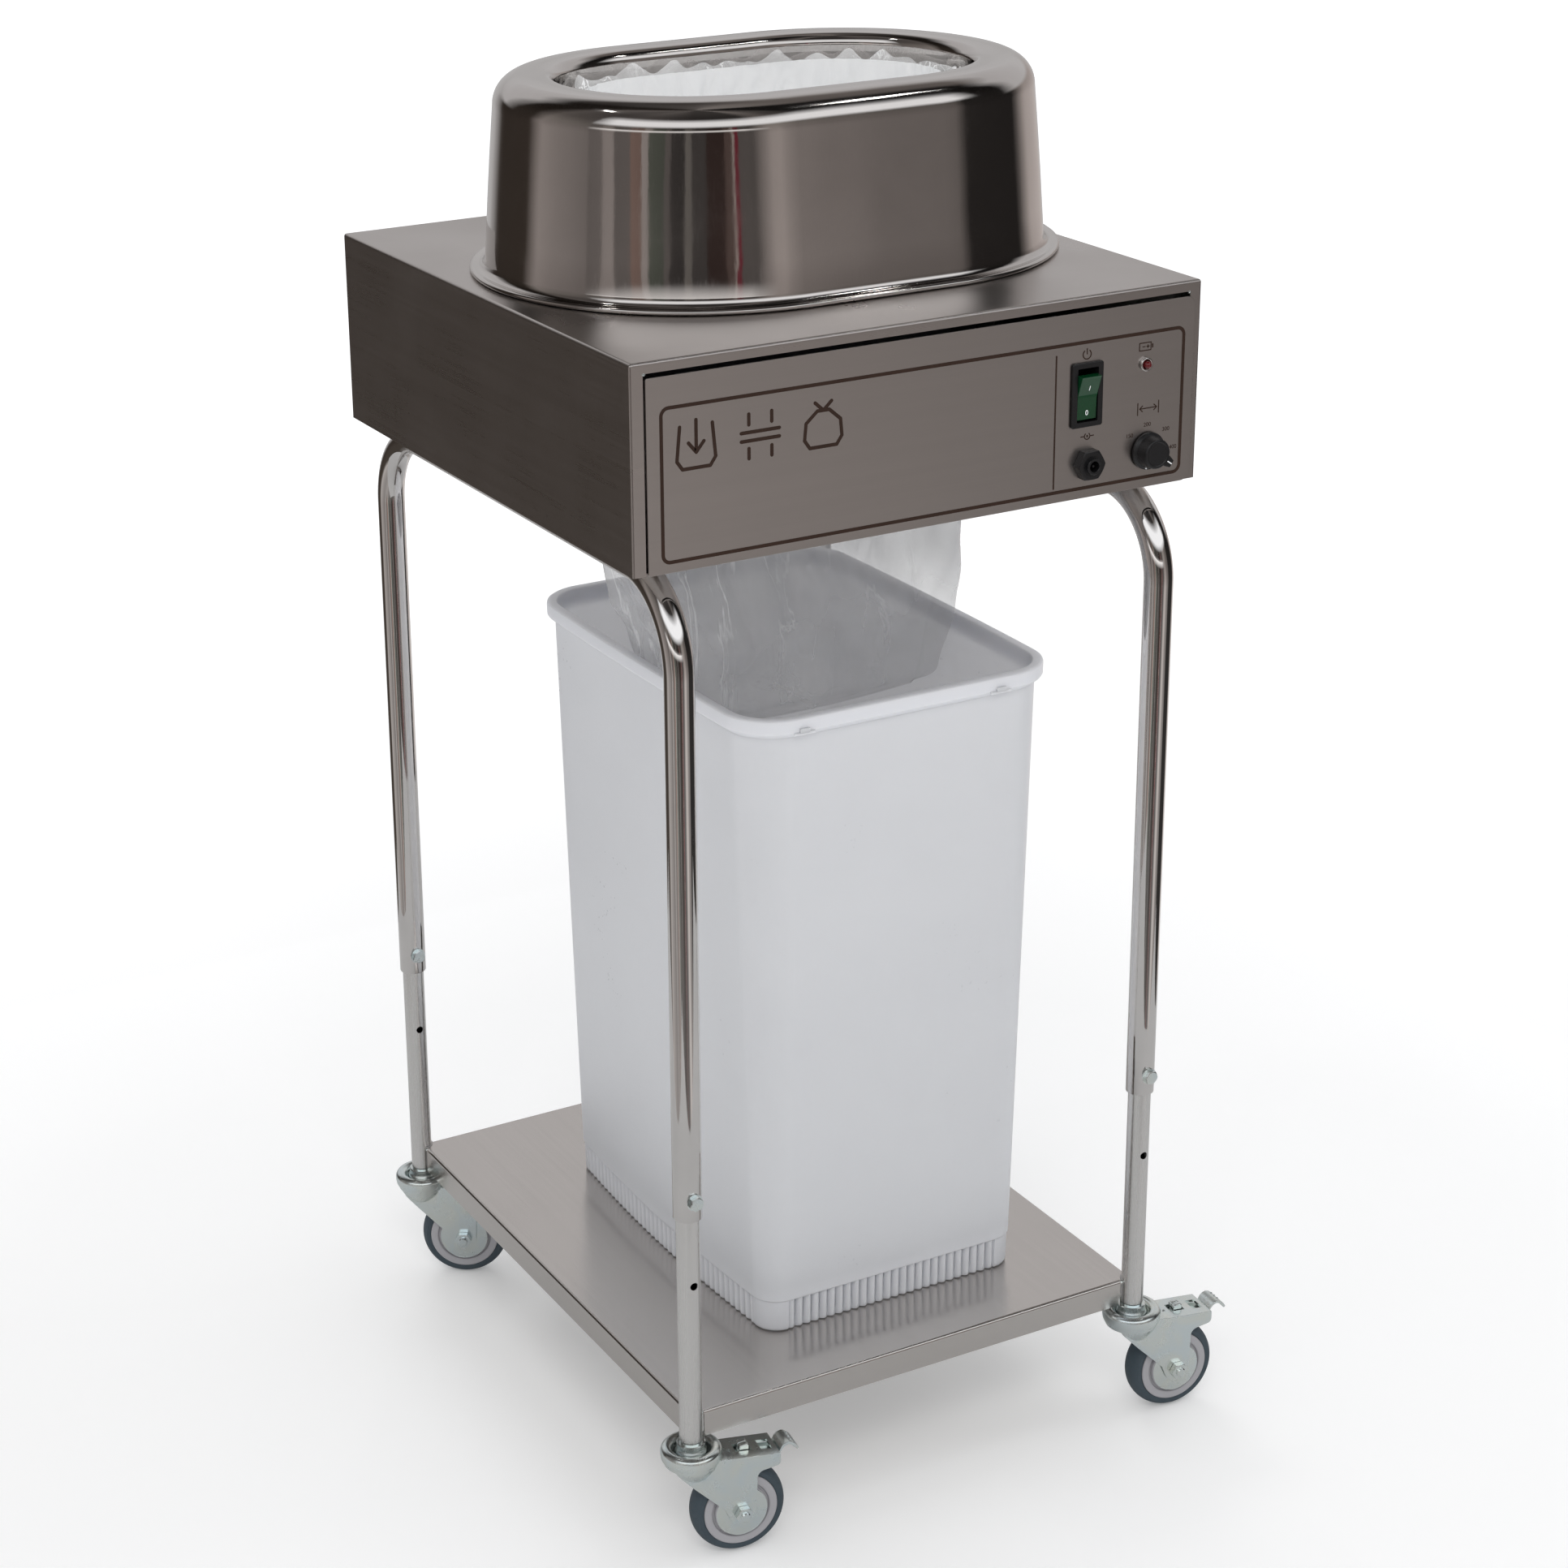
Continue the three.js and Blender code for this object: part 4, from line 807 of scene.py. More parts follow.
def panel_signs():
    """Plain signs: an open bag, a seal line, a closed bag; power, battery, length."""
    signs = []

    def sign(x, z, size, width, *lines):
        for points in lines:
            signs.append(stroke([(x + a * size, z + b * size) for a, b in points], width))

    big, pen = 30, 2.6
    sign(-186, 876, big, pen,
         [(-0.42, 0.5), (-0.5, -0.3), (-0.36, -0.5), (0.36, -0.5), (0.5, -0.3), (0.42, 0.5)],
         [(0, 0.62), (0, -0.1)], [(-0.2, 0.1), (0, -0.14), (0.2, 0.1)])
    sign(-136, 876, big, pen, [(-0.5, 0.12), (0.5, 0.12)], [(-0.5, -0.08), (0.5, -0.08)],
         [(-0.3, 0.55), (-0.3, 0.3)], [(0.3, 0.55), (0.3, 0.3)],
         [(-0.3, -0.26), (-0.3, -0.5)], [(0.3, -0.26), (0.3, -0.5)])
    sign(-86, 876, big, pen,
         [(-0.16, 0.36), (-0.46, 0.1), (-0.5, -0.3), (-0.36, -0.5), (0.36, -0.5),
          (0.5, -0.3), (0.46, 0.1), (0.16, 0.36), (-0.16, 0.36)],
         [(-0.22, 0.56), (0, 0.36), (0.22, 0.56)])
    ring = [(math.sin(math.radians(a)) * 0.5, math.cos(math.radians(a)) * 0.5)
            for a in range(40, 321, 20)]
    sign(SWITCH_X, 896.6, 7, 0.9, ring, [(0, 0.6), (0, 0.05)])
    battery = LAMP_X, 895.5, 11
    sign(*battery, 0.8,
         [(-0.5, -0.26), (0.42, -0.26), (0.42, 0.26), (-0.5, 0.26), (-0.5, -0.26)])
    sign(*battery, 1.2, [(0.55, -0.1), (0.55, 0.1)])
    sign(*battery, 0.7, [(-0.25, 0), (-0.05, 0)], [(0.08, 0), (0.28, 0)],
         [(0.18, -0.1), (0.18, 0.1)])
    sign(DIAL_X, 849, 15, 0.8, [(-0.5, 0), (0.5, 0)],
         [(-0.34, 0.14), (-0.5, 0), (-0.34, -0.14)], [(0.34, 0.14), (0.5, 0), (0.34, -0.14)],
         [(-0.62, 0.3), (-0.62, -0.3)], [(0.62, 0.3), (0.62, -0.3)])
    plug = SOCKET_X, 835.5, 8
    sign(*plug, 0.8, [(-0.7, 0), (-0.3, 0)], [(0.3, 0), (0.7, 0)],
         [(a * 0.6, b * 0.6) for a, b in ring])
    sign(*plug, 1.4, [(0, -0.04), (0, 0.04)])
    return joined(*signs)


ROCKER_PEAK, ROCKER_VALLEY, ROCKER_REACH, ROCKER_TILT = 11, 8.55, 16.4, 11


def make_rocker_switch():
    place = panel_place(SWITCH_X, SWITCH_Z)
    half_w, half_h = SWITCH_W / 2, SWITCH_H / 2
    surround = soft_block(-half_w, half_w, -half_h, half_h, 0.3, 2.4, 2.0, 0.8)
    case = box(-half_w + 3, half_w - 3, -half_h + 2.5, half_h - 2.5, -22, 0.4)
    well = soft_block(-9, 9, -20, 20, -17, 10, 0.8, 0.1)
    shell = combined(combined(surround, [case], "UNION"), [well])
    piece("switch_frame", shell, M_BLACK, "head", place, ["switch_bezel"])
    # The rocker turns about an axis behind the panel's face. Its profile holds
    # (up, out) points: a shallow valley between two faces.
    profile = [(-17, 10.6), (-ROCKER_REACH, ROCKER_PEAK), (-9, 9.75), (-2.5, 8.75),
               (0, ROCKER_VALLEY), (2.5, 8.75), (9, 9.75), (ROCKER_REACH, ROCKER_PEAK),
               (17, 10.6), (16.5, 5), (5, -3), (-5, -3), (-16.5, 5)]
    rocker = loft([[(x, up, out) for up, out in profile] for x in (-8.5, 8.5)])
    tilt = place @ at(0, 0, -6.5) @ spun(ROCKER_TILT, "X")
    piece("rocker", bevelled(rocker, 0.5, 3, 50), M_GREEN, "switch", tilt,
          ["switch_rocker"])
    rise = ROCKER_PEAK - ROCKER_VALLEY
    lean = math.degrees(math.atan2(rise, ROCKER_REACH))
    zero = [(0.95 * math.sin(math.radians(a)), 1.7 * math.cos(math.radians(a)))
            for a in (*range(0, 360, 24), 0)]
    for name, line, up, turn in (("on", [(0, -1.7), (0, 1.7)], 7.6, lean),
                                 ("off", zero, -11.5, -lean)):
        out = ROCKER_VALLEY + abs(up) * rise / ROCKER_REACH
        piece(f"rocker_mark_{name}", stroke(line, 0.55), M_WHITE, "switch",
              tilt @ at(0, up, out + 0.03) @ spun(turn, "X"))


def make_controls():
    make_rocker_switch()
    lamp_place = panel_place(LAMP_X, LAMP_Z)
    bezel = lathe([(3.1, -12), (3.9, -12), (3.9, -0.4), (3.9, 0.3), (5.2, 0.3), (5.2, 0.8),
                   *arc(4.3, 1.7, 0.9, 0, 120, 5), (3.1, 1.4)], 48)
    piece("lamp_ring", bezel, M_CHROME, "head", lamp_place,
          ["lamp_bezel"])
    lens = lathe([(0, -11), (2.8, -11), (2.8, 3.0), *arc(0, 3.2, 2.8, 4, 86, 8), (0, 6)], 40)
    piece("lamp_glass", lens, M_RED, "head", lamp_place, ["lamp_lens"])

    jack = joined(
        combined(nut(21, 0.3, 8), [bar(7.4, -1, 20, 40)]),
        lathe([(4, 1), (4, 10.6), (4.4, 11), (5.8, 11), (6.2, 10.6), (6.2, 8.2), (7.3, 8.2),
               (7.3, 0.3), (8, 0.3), (8, -18), (0, -18), (0, 1)][::-1], 48),
        lathe([(0, 0.9), (1.1, 0.9), (1.1, 8.6), (0.8, 9), (0, 9)], 20),
    )
    piece("charge_jack", jack, M_BLACK, "head",
          panel_place(SOCKET_X, SOCKET_Z), ["charge_socket"])

    skirt = lathe([(0, 1), (13.6, 1), (14, 1.4), (14, 3), (13.4, 3.8), (12.2, 4.8),
                   (11.7, 6.5), (11.2, 12.6), (10.9, 13.4), (10.2, 13.9), (9.2, 14),
                   (8.6, 13.6), (0, 13.6)], 64)
    wing = bevelled(prism([(-6, -6.5), (8, -5.2), (16.5, -3), (16.5, 3), (8, 5.2), (-6, 6.5)],
                          2, 13.4), 0.8, 3, 30)
    knob = combined(skirt, [wing], "UNION")
    turn = panel_place(DIAL_X, DIAL_Z) @ spun(POINTER)
    piece("dial_knob", joined(knob, bar(3, -20, 1.2, 24)), M_BLACK, "dial",
          turn, ["length_dial"], smooth=28)
    pointer = moved(stroke([(11.6, 0), (15.6, 0)], 0.8), at(0, 0, 13.36))
    piece("dial_pointer", pointer, M_WHITE, "dial", turn)
    dot = moved(bar(0.75, 0, 0.12, 20, edge=0.03), at(12.6, 0, 4.5))
    piece("dial_dot", dot, M_WHITE, "dial", turn @ spun(-70))


# ---- Hood and film
HOOD_TOP, HOOD_FOOT = 1085, HOUSING_TOP + GAP


def make_hood():
    foot, top = HOOD_FOOT, HOOD_TOP
    shoulder, mouth = (128, 1062), (112, top - 10.5)
    outside = [(169.4, foot), (170.6, foot + 0.8), (171, foot + 2), (170.7, foot + 3.1),
               (169.6, foot + 3.9), (168.2, foot + 4), (165.5, foot + 3.2),
               (163, foot + 3.4), (161, foot + 4.8), (159.8, foot + 7), (159, foot + 10),
               (157.2, foot + 34), (155.3, foot + 60), (153.2, foot + 86)]
    outside += arc(*shoulder, 22, 0, 80, 14)
    outside += arc(*mouth, 9, 95, 180, 10) + [(103, top - 17), (103.2, top - 24)]
    inside = [(104.4, top - 24), *arc(*mouth, 7.6, 180, 95, 8),
              *arc(*shoulder, 20.6, 80, 0, 10), (157.4, foot + 10), (160.2, foot)]
    piece("hood_cover", oval_sweep(outside + inside, 48), M_HOOD, "hood",
          at(FILM_X), ["hood"], smooth=50, weighted=False)


def film_outline(half_width, half_depth, count, corner=1000.0):
    """A rounded rectangle about the origin, its points evenly spread by length."""
    half_depth = max(half_depth, 0.8)
    path = [Vector(p) for p in rounded(-half_width, half_width, -half_depth, half_depth,
                                       min(half_depth, corner), 12)]
    runs = [(b - a).length for a, b in zip(path, path[1:] + path[:1])]
    step = sum(runs) / count
    points, k, gone = [], 0, 0.0
    for i in range(count):
        while gone + runs[k] < i * step:
            gone += runs[k]
            k += 1
        share = (i * step - gone) / max(runs[k], 1e-9)
        points.append(tuple(path[k].lerp(path[(k + 1) % len(path)], share)))
    return points


def drift(x, y, z):
    return noise.noise(Vector((x, y, z)))


def ridge(x, y, z):
    """Noise with sharp creases, from 0 in a crease to about 1."""
    return min(1.0, abs(drift(x, y, z)) * 3)


def sheet_from(rows, crumple):
    """A single skin through rows of points, pushed in and out by crumple(point, s, t)."""
    count = len(rows[0])
    points = []
    for i, row in enumerate(rows):
        for j, p in enumerate(row):
            a, b = Vector(row[j - 1]), Vector(row[(j + 1) % count])
            along = (b - a).normalized()
            out = Vector((along.y, -along.x, 0))
            push = crumple(Vector(p), j / count, i / (len(rows) - 1))
            points.append(Vector(p) + out * push)
    return shape(points, ring_faces(len(rows), count))


def eased(sections, z):
    """A section's values at a height, smoothly between the sections stated."""
    for (za, *a), (zb, *b) in zip(sections, sections[1:]):
        if zb <= z <= za:
            t = (za - z) / (za - zb)
            t = t * t * (3 - 2 * t) * 0.5 + t * 0.5
            return [p + (q - p) * t for p, q in zip(a, b)]
    return list(sections[-1][1:])


# Height, then half width, half depth, x, y and corner radius
BAG_SECTIONS = (
    (819, 162, 0.8, 0, 0, 1), (800, 161, 8, 0, -3, 6), (770, 157, 24, 2, -9, 12),
    (720, 147, 36, 5, -16, 14), (680, 139, 46, 7, -18, 14), (650, 126, 54, 8, -20, 14),
    (600, 117, 46, 8, -22, 20), (572, 112, 0.8, 8, -22, 1),
)
SEAL_Z, BAG_FOOT_Z, NIP_Z, THROAT_TOP = 819, 572, 893, 1067
NIP_SIZE, MOUTH_SIZE = (162, 3), (147, 87)  # half width and half depth of the funnel


def make_bag():
    def crumple(p, s, t):
        side = abs(p.x - FILM_X - 6) / 158
        free = min(1, t * 5) * min(1, (1 - t) * 6) * min(1, max(0.1, (1.02 - side) * 5))
        along = s * 2 * math.pi
        folds = 2.4 * math.sin(along * 13 + 7 * drift(s * 7, t * 0.7, 3))
        pleat = -5.0 * max(0, math.sin(along * 3 + 0.6 + t)) ** 8
        fine = 3.0 * (ridge(p.x / 40, p.y / 40, p.z / 150) - 0.4)
        return free * (folds * (0.5 + 0.5 * t) + pleat + fine) - 2.0 * free
    rows = []
    count = 84
    for i in range(count + 1):
        z = SEAL_Z - (SEAL_Z - BAG_FOOT_Z) * i / count
        width, depth, x, y, corner = eased(BAG_SECTIONS, z)
        sag = 5.0 * (i / count) ** 3
        rows.append([(FILM_X + x + u, y + v, z + sag * abs(u / width) ** 2)
                     for u, v in film_outline(width, depth, 240, corner)])
    skin = sheet_from(rows, crumple)
    bag = piece("open_film_bag", skin, M_FILM, None, stands_for=["film_bag"],
                smooth=180, weighted=False)
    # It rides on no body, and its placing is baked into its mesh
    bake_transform(bag)


def make_throat():
    def crumple(p, s, t):
        deep = min(1, t * 3)
        wave = 2.4 * math.sin(s * 2 * math.pi * 23 + 3 * drift(s * 9, 1, 2))
        fine = 5.5 * (ridge(p.x / 24, p.y / 24, p.z / 40) - 0.45)
        return (-2.2 - abs(wave) - abs(fine)) * (0.35 + 0.65 * min(1, deep + 0.3)) * (
            1 - max(0, t - 0.75) * 3.4)
    rows = []
    for i in range(47):
        z = THROAT_TOP - (THROAT_TOP - NIP_Z) * (i / 46)
        width = NIP_SIZE[0] + (MOUTH_SIZE[0] - NIP_SIZE[0]) * min(1, (z - NIP_Z) / 37)
        depth = NIP_SIZE[1] + (MOUTH_SIZE[1] - NIP_SIZE[1]) * math.sin(
            min(1, (z - NIP_Z) / 107) * math.pi / 2)
        rows.append([(FILM_X + u, v, z) for u, v in film_outline(
            width, min(depth, width - 1), 420)])
    inner = sheet_from(rows, crumple)
    tail_rows = [[(FILM_X + u, v, z) for u, v in film_outline(NIP_SIZE[0], 1.2, 120)]
                 for z in (NIP_Z, 870, 845, SEAL_Z + GAP)]
    tail = sheet_from(tail_rows, lambda p, s, t: 0.0)
    funnel = piece("film_funnel", inner, M_THROAT, "head",
                   stands_for=["film_throat"], smooth=180, weighted=False)
    tail = piece("film_tail", tail, M_FILM, "head", smooth=180, weighted=False)

    def ruffle(p, s, t):
        deep = math.sin(t * math.pi)
        return deep * (3.2 * (ridge(p.x / 20, p.y / 20, p.z / 26) - 0.2)
                       + 1.6 * math.sin(s * 2 * math.pi * 31 + 4 * drift(s * 8, 5, 1)))
    # Loose film drawn from the cassette, over the collar and down inside
    path = [(97.5, 1019), (98, 1034), (97.5, 1050), (96, 1063), (93, 1069.5), (89.5, 1068),
            (87.4, 1060), (86.8, 1046)]
    rows, steps = [], 28
    for i in range(steps + 1):
        t = i / steps * (len(path) - 1)
        k = min(int(t), len(path) - 2)
        r = path[k][0] + (path[k + 1][0] - path[k][0]) * (t - k)
        z = path[k][1] + (path[k + 1][1] - path[k][1]) * (t - k)
        ring = []
        for u, v in film_outline(HALF_SPINE + r, r, 420):
            lift = 10 * drift(u / 18, v / 18, 7) * math.sin(i / steps * math.pi)
            ring.append((FILM_X + u, v, z + lift))
        rows.append(ring)
    over = piece("film_over_collar", sheet_from(rows, ruffle), M_GATHERED, "head",
                 smooth=180, weighted=False)


def make_collar():
    foot, top = HOUSING_TOP + GAP, 1054
    profile = [(91.5, foot + 1.5), (91.5, top - 4), (93.5, top), (93.3, top + 0.8),
               (92, top + 1), (90, top - 4), (90, foot), (104, foot), (104, foot + 1.5)]
    piece("collar_tube", oval_sweep(profile), M_INNER, "head", at(FILM_X),
          ["film_collar"], smooth=40)
    # The cassette's gathered stock is a stack of soft folds
    low, high, folds = HOUSING_TOP + 2.1, HOUSING_TOP + 80.1, 17
    shares = [k / (folds * 6) for k in range(folds * 6 + 1)]
    outer = [(134.6 - 1.4 * abs(math.sin(t * folds * math.pi)), low + (high - low) * t)
             for t in shares]
    stock = oval_sweep([(96.5, low), *outer, (96.5, high)])
    piece("film_stock", stock, M_STOCK, "head", at(FILM_X),
          ["film_cassette"], smooth=60, weighted=False)


# ---- Waste bin
BIN_FOOT = (235, 330, 21, 6)
BIN_MOUTH = (263, 350, 36, 2)
FLUTE_HEIGHT, FLUTE_PITCH = 27, 7.5


def bin_outline(size, inset, flute=0.0):
    """A rounded rectangle with bowed long sides, its straight runs fluted or not."""
    width, depth, corner, bow = size
    radius = max(corner - inset, 4)
    x, y = width / 2 - inset - radius, depth / 2 - inset - radius
    flutes_front, flutes_side = (
        2 * round((length / 2 - BIN_FOOT[2]) / FLUTE_PITCH) for length in BIN_FOOT[:2])
    samples = 8

    def valley(k):
        return flute * (1 - abs(math.sin(math.pi * k / samples)) ** 0.9)

    points = []
    for sx, sy, start in ((1, -1, -90), (1, 1, 0), (-1, 1, 90), (-1, -1, 180)):
        points += arc(sx * x, sy * y, radius, start, start + 90, 14)
        if start in (-90, 90):
            count = flutes_side * samples
            for k in range(1, count):
                along = 2 * k / count - 1
                side = x + radius + bow * (1 - along * along) - valley(k)
                points.append((sx * side, sx * along * y))
        else:
            count = flutes_front * samples
            for k in range(1, count):
                along = 1 - 2 * k / count
                points.append((sy * along * x, sy * (y + radius - valley(k))))
    return points


def bin_size(share):
    return tuple(a + (b - a) * share for a, b in zip(BIN_FOOT, BIN_MOUTH))


def make_bin():
    rim = BIN_HEIGHT - 16

    def ring(z, inset, flute=0.0):
        share = min(1, z / rim)
        return level(bin_outline(bin_size(share), inset, flute), z)

    top = BIN_HEIGHT
    # Height, inset and flute depth: the fluted foot, the wall, the rim, then the inside
    rings = [(0.05, 4.6), (0.6, 2.1, 2.4), (1.8, 1.3, 4.0)]
    rings += [(z, 1.1, 4.6) for z in (3.5, 10, 18, FLUTE_HEIGHT - 1)]
    rings += [(FLUTE_HEIGHT - 0.2, 1.1, 4.4), (FLUTE_HEIGHT, 0.5), (FLUTE_HEIGHT + 0.8, 0.05)]
    rings += [(z, 0) for z in (60, 140, 220, 300, 380, 450, rim - 6)]
    rings += [(rim, 0.1), (rim + 1.2, -1.2), (rim + 4.4, -5.6), (rim + 5.6, -6.4),
              (top - 2.2, -6.5), (top - 0.9, -6.1), (top - 0.15, -5.0), (top, -4.0),
              (top, 0.6), (top - 0.5, 1.7), (top - 1.8, BIN_WALL)]
    rings += [(z, BIN_WALL) for z in (400, 250, 100, FLUTE_HEIGHT + 8)]
    rings += [(z, BIN_WALL + 3.2) for z in (FLUTE_HEIGHT + 3, 20, 9)]
    rings += [(5.6, BIN_WALL + 4.4), (4.2, BIN_WALL + 7.5)]
    body = loft([ring(*values) for values in rings])
    place = at(BIN_X, BIN_Y, BIN_Z)
    piece("bin_moulding", body, M_BIN, "bin", place, ["waste_bin"], smooth=28)
    for k, x in enumerate((-73.3, 98.0)):
        tab = soft_block(x - 4.2, x + 4.2, -199, -196, 631.2, 634.6, 0.7, 0.5)
        foot = soft_block(x - 9, x + 9, -198.1, -196.4, 629.6, 631.8, 0.5, 0.4)
        piece(f"rim_tab_{k + 1}", joined(tab, foot), M_BIN, "bin")


# ---- Floor, light and surroundings
def make_floor():
    """A pale floor, and a duller card lying on it that only metal reflects."""
    for name, size, height, tone, glow in (("floor", 30, 0, 0.9, 0.2),
                                           ("reflected_card", 0.95, 0.0003, 0.62, 0)):
        paper = Surface(name, (tone,) * 3, 0.75, Emission_Color=(1, 1, 1, 1),
                        Emission_Strength=glow)
        paper.link("Roughness", paper.ranged(
            paper.noise((3, 3, 3), detail=4.0), 0.7, 0.82, 0, 1))
        if glow:
            away = paper.node("VectorMath", {0: paper.place}, operation="LENGTH")
            paper.link("Emission Strength", paper.ranged(
                away.outputs["Value"], glow, glow + 0.35, 0.7, 3.5))
        mesh = bpy.data.meshes.new(name)
        mesh.from_pydata([(x * size, y * size, height) for x, y in (
            (-1, -1), (1, -1), (1, 1), (-1, 1))], [], [(0, 1, 2, 3)])
        mesh.materials.append(paper.material)
        sheet = in_scene(name, mesh)
        card = name == "reflected_card"
        sheet.visible_glossy = card
        sheet.visible_camera = sheet.visible_diffuse = sheet.visible_shadow = not card
        sheet.visible_transmission = not card


BEARINGS = (-180, 190)  # degrees round the unit, with 10 to spare for the sway
HEIGHTS = (-1, 1)  # of a direction, from straight down to straight up


def make_world():
    """Soft even light, and a dim warm room for the metal to reflect."""
    world = bpy.data.worlds.new("studio")
    bpy.context.scene.world = world
    world.use_nodes = True
    tree = world.node_tree
    tree.nodes.clear()

    def node(kind, inputs=(), **settings):
        return add_node(tree, kind, inputs, **settings)

    def calculate(operation, a, b):
        return node("Math", {0: a, 1: b}, operation=operation).outputs[0]

    def mix(share, a, b, kind="MIX"):
        return node("Mix", {0: share, 6: a, 7: b}, data_type="RGBA", blend_type=kind).outputs[2]

    direction = node("TexCoord").outputs["Generated"]
    parts = node("SeparateXYZ", {0: direction})
    height = parts.outputs[2]
    turn = calculate("ARCTAN2", parts.outputs[1], parts.outputs[0])

    def ramp(value, low, high, stops, blend="LINEAR"):
        """Tones, grey or RGB, at places from low to high."""
        share = node("MapRange", {"Value": value, "From Min": low, "From Max": high}).outputs[0]
        made = node("ValToRGB", {0: share})
        made.color_ramp.interpolation = blend
        stops_made = made.color_ramp.elements
        for _ in stops[2:]:
            stops_made.new(1.0)
        for stop, (place, tone) in zip(stops_made, stops):
            stop.position = (place - low) / (high - low)
            stop.color = (*(tone if isinstance(tone, tuple) else (tone,) * 3), 1)
        return made.outputs[0]

    def multiply(a, b):
        return mix(1.0, a, b, "MULTIPLY")

    wobble = node("TexNoise", {"Vector": direction, "Scale": 3.0, "Detail": 2.0}).outputs[0]
    sway = calculate("MULTIPLY", wobble, 9.0)
    bearing = calculate("ADD", calculate("MULTIPLY", turn, 180 / math.pi), sway)
    # Bearings in degrees: -90 is the front, 0 the right, 90 the back. The room is dark
    # to the right and at the back left, and brightest between the right and the back.
    around = ramp(bearing, *BEARINGS, (
        (-180, 0.9), (-150, 1.25), (-118, 0.5), (-82, 0.5), (-72, 1.9), (-66, 2.0),
        (-60, 1.45), (-53, 0.95), (-44, 0.8), (-37, 0.12), (4, 0.1), (22, 2.2), (50, 2.4),
        (66, 1.1), (90, 0.7), (110, (0.19, 0.17, 0.15)), (140, (0.21, 0.185, 0.16)),
        (152, 1.6), (164, 1.3), (190, 0.9),
    ))
    # Upright bands for things that stand in the room between the left and the front
    things = ramp(bearing, *BEARINGS, (
        (-180, 0.8), (-168, 1.35), (-161, 0.6), (-150, (0.9, 0.7, 0.63)), (-143, 1.6),
        (-139, (0.5, 0.6, 0.53)), (-131, 0.8), (-128, 0.35), (-121, (1.5, 1.55, 1.5)),
        (-117, 0.6), (-108, (0.4, 0.3, 0.28)), (-100, (0.95, 0.75, 0.7)),
        (-96, (3.2, 3.1, 3.0)), (-93.5, (1.5, 0.3, 0.45)), (-91, 1.05), (-86, 1.0),
    ), "CONSTANT")
    by_height = ramp(height, *HEIGHTS, (
        (-1, (0.36, 0.345, 0.335)), (-0.36, (0.33, 0.31, 0.3)), (-0.22, (0.26, 0.235, 0.225)),
        (0.02, (0.2, 0.178, 0.17)), (0.3, (0.16, 0.145, 0.135)), (0.55, (0.09, 0.08, 0.075)),
        (0.85, (0.07, 0.063, 0.06)), (1, (0.12, 0.11, 0.105)),
    ))
    low_band = ramp(height, *HEIGHTS, (
        (-1, 0), (-0.5, 0), (-0.36, 1), (0.25, 1), (0.4, 0), (1, 0),
    ))
    plain = multiply(by_height, around)
    room = mix(low_band, plain, multiply(plain, things))

    def window(tone, bearings, heights, fade=0.04):
        """Adds a bright wall between two bearings and two heights, with soft edges."""
        nonlocal room
        (a, b), (c, d) = bearings, heights
        across = ramp(bearing, *BEARINGS, (
            (-180, 0), (a - 8, 0), (a + 8, 1), (b - 8, 1), (b + 8, 0), (190, 0)))
        up = ramp(height, *HEIGHTS, (
            (-1, 0), (c - fade, 0), (c + fade, 1), (d - 0.08, 1), (d + 0.08, 0), (1, 0)))
        room = mix(multiply(across, up), room, (*tone, 1))

    window((0.62, 0.61, 0.615), (5, 115), (0.13, 0.68))
    window((0.52, 0.51, 0.51), (50, 98), (-0.5, 0.2))
    window((1.3, 1.28, 1.27), (-171, -78), (0.09, 0.12), 0.06)
    window((1.2, 1.22, 1.25), (-171, -30), (0.38, 0.7), 0.06)
    soft = node("Background", {"Color": (0.985, 0.99, 1.0, 1), "Strength": 0.68})
    shown = node("Background", {"Color": (1, 1, 1, 1), "Strength": 0.95})
    mirror = node("Background", {"Color": room, "Strength": 1.0})
    path = node("LightPath")
    seen = node("MixShader", {0: path.outputs["Is Glossy Ray"], 1: soft.outputs[0],
                              2: mirror.outputs[0]})
    final = node("MixShader", {0: path.outputs["Is Camera Ray"], 1: seen.outputs[0],
                               2: shown.outputs[0]})
    node("OutputWorld", {"Surface": final.outputs[0]})


LIT_POINT = Vector((0, 0, 0.6))


def area_light(name, location, size, power, color=(1, 1, 1), glossy=True):
    light = bpy.data.lights.new(name, "AREA")
    light.shape = "RECTANGLE"
    light.size, light.size_y = size
    light.energy = power
    light.color = color
    lamp = in_scene(name, light)
    lamp.location = location
    aim = LIT_POINT - lamp.location
    lamp.rotation_euler = aim.to_track_quat("-Z", "Y").to_euler()
    lamp.visible_camera = False
    lamp.visible_glossy = glossy


make_world()
make_floor()
area_light("key", (-1.3, -2.4, 2.9), (1.6, 0.9), 21, (1, 0.98, 0.95), False)
area_light("ceiling_left", (-1.1, 0.4, 3.0), (0.2, 0.06), 0.9)
area_light("ceiling_right", (1.2, -0.6, 3.0), (0.26, 0.06), 1.1)
area_light("side", (2.8, -0.8, 1.6), (0.9, 1.6), 8, (0.95, 0.97, 1), False)
area_light("back", (0.6, 2.9, 2.2), (1.8, 0.8), 16, glossy=False)

make_shelf()
make_legs()
make_hoops()
make_castors()
make_housing()
make_panel()
make_controls()
make_hood()
make_bag()
make_throat()
make_collar()
make_bin()

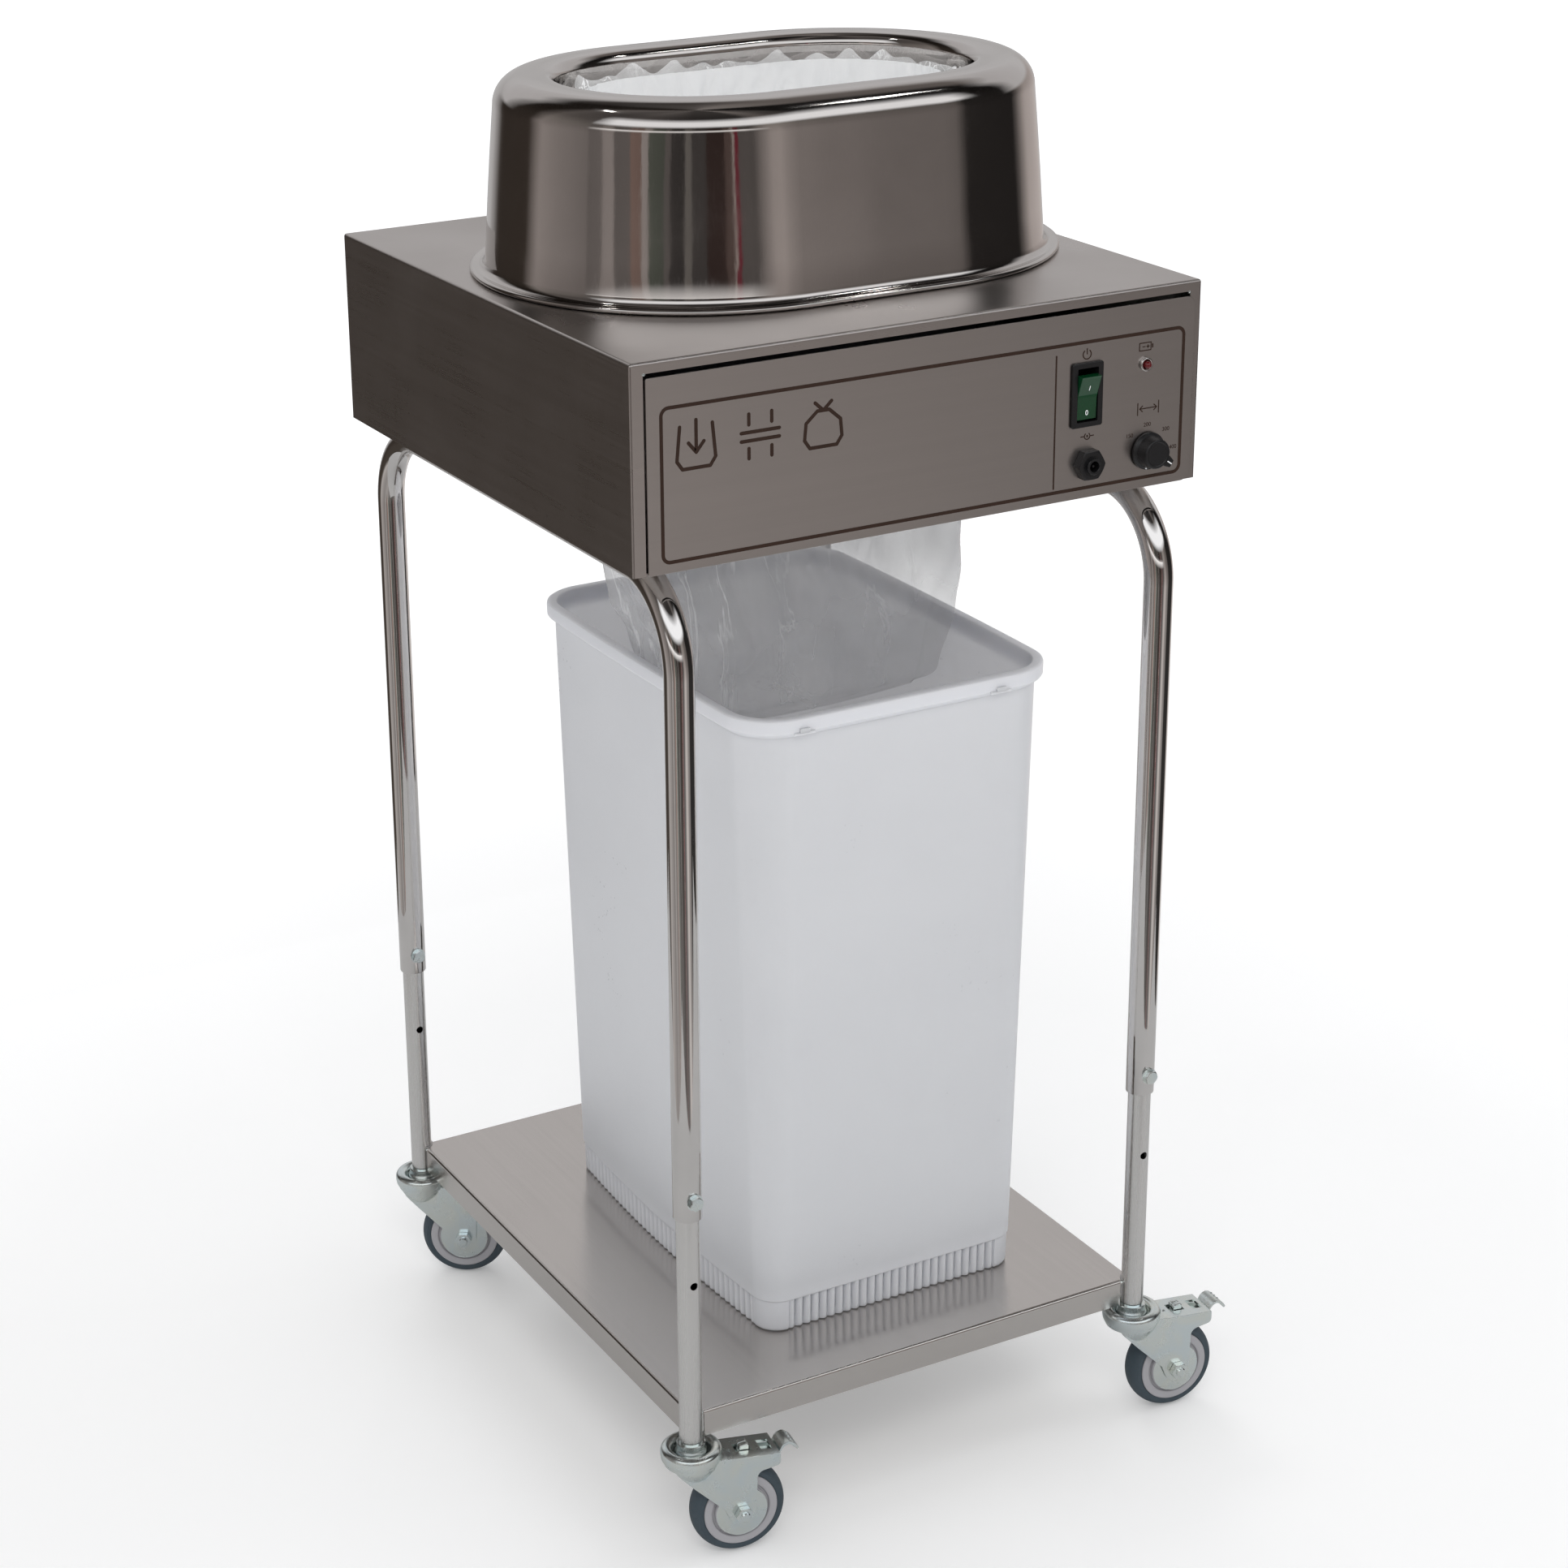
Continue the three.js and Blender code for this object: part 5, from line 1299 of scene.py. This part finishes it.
# The CAD nodes that stay: the housing's floor and the parts inside it
KEPT = {
    "base_plate": M_HOUSING, "battery_pack": M_BLACK, "control_board": M_BOARD,
    "side_bracket_left": M_INNER, "side_bracket_right": M_INNER,
    "feed_roller_front": M_ROLLER, "feed_roller_rear": M_ROLLER,
    "seal_bar_front": M_INNER, "seal_bar_rear": M_ZINC, "seal_actuator": M_BLACK,
    "feed_motor": M_INNER,
}
for name, material in KEPT.items():
    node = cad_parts[name]
    node.data.materials.clear()
    node.data.materials.append(material)

bpy.context.scene.view_settings.view_transform = "Standard"
bpy.context.scene.cycles.use_denoising = True
bpy.context.scene.cycles.transparent_max_bounces = 24
bpy.context.scene.cycles.diffuse_bounces = 8
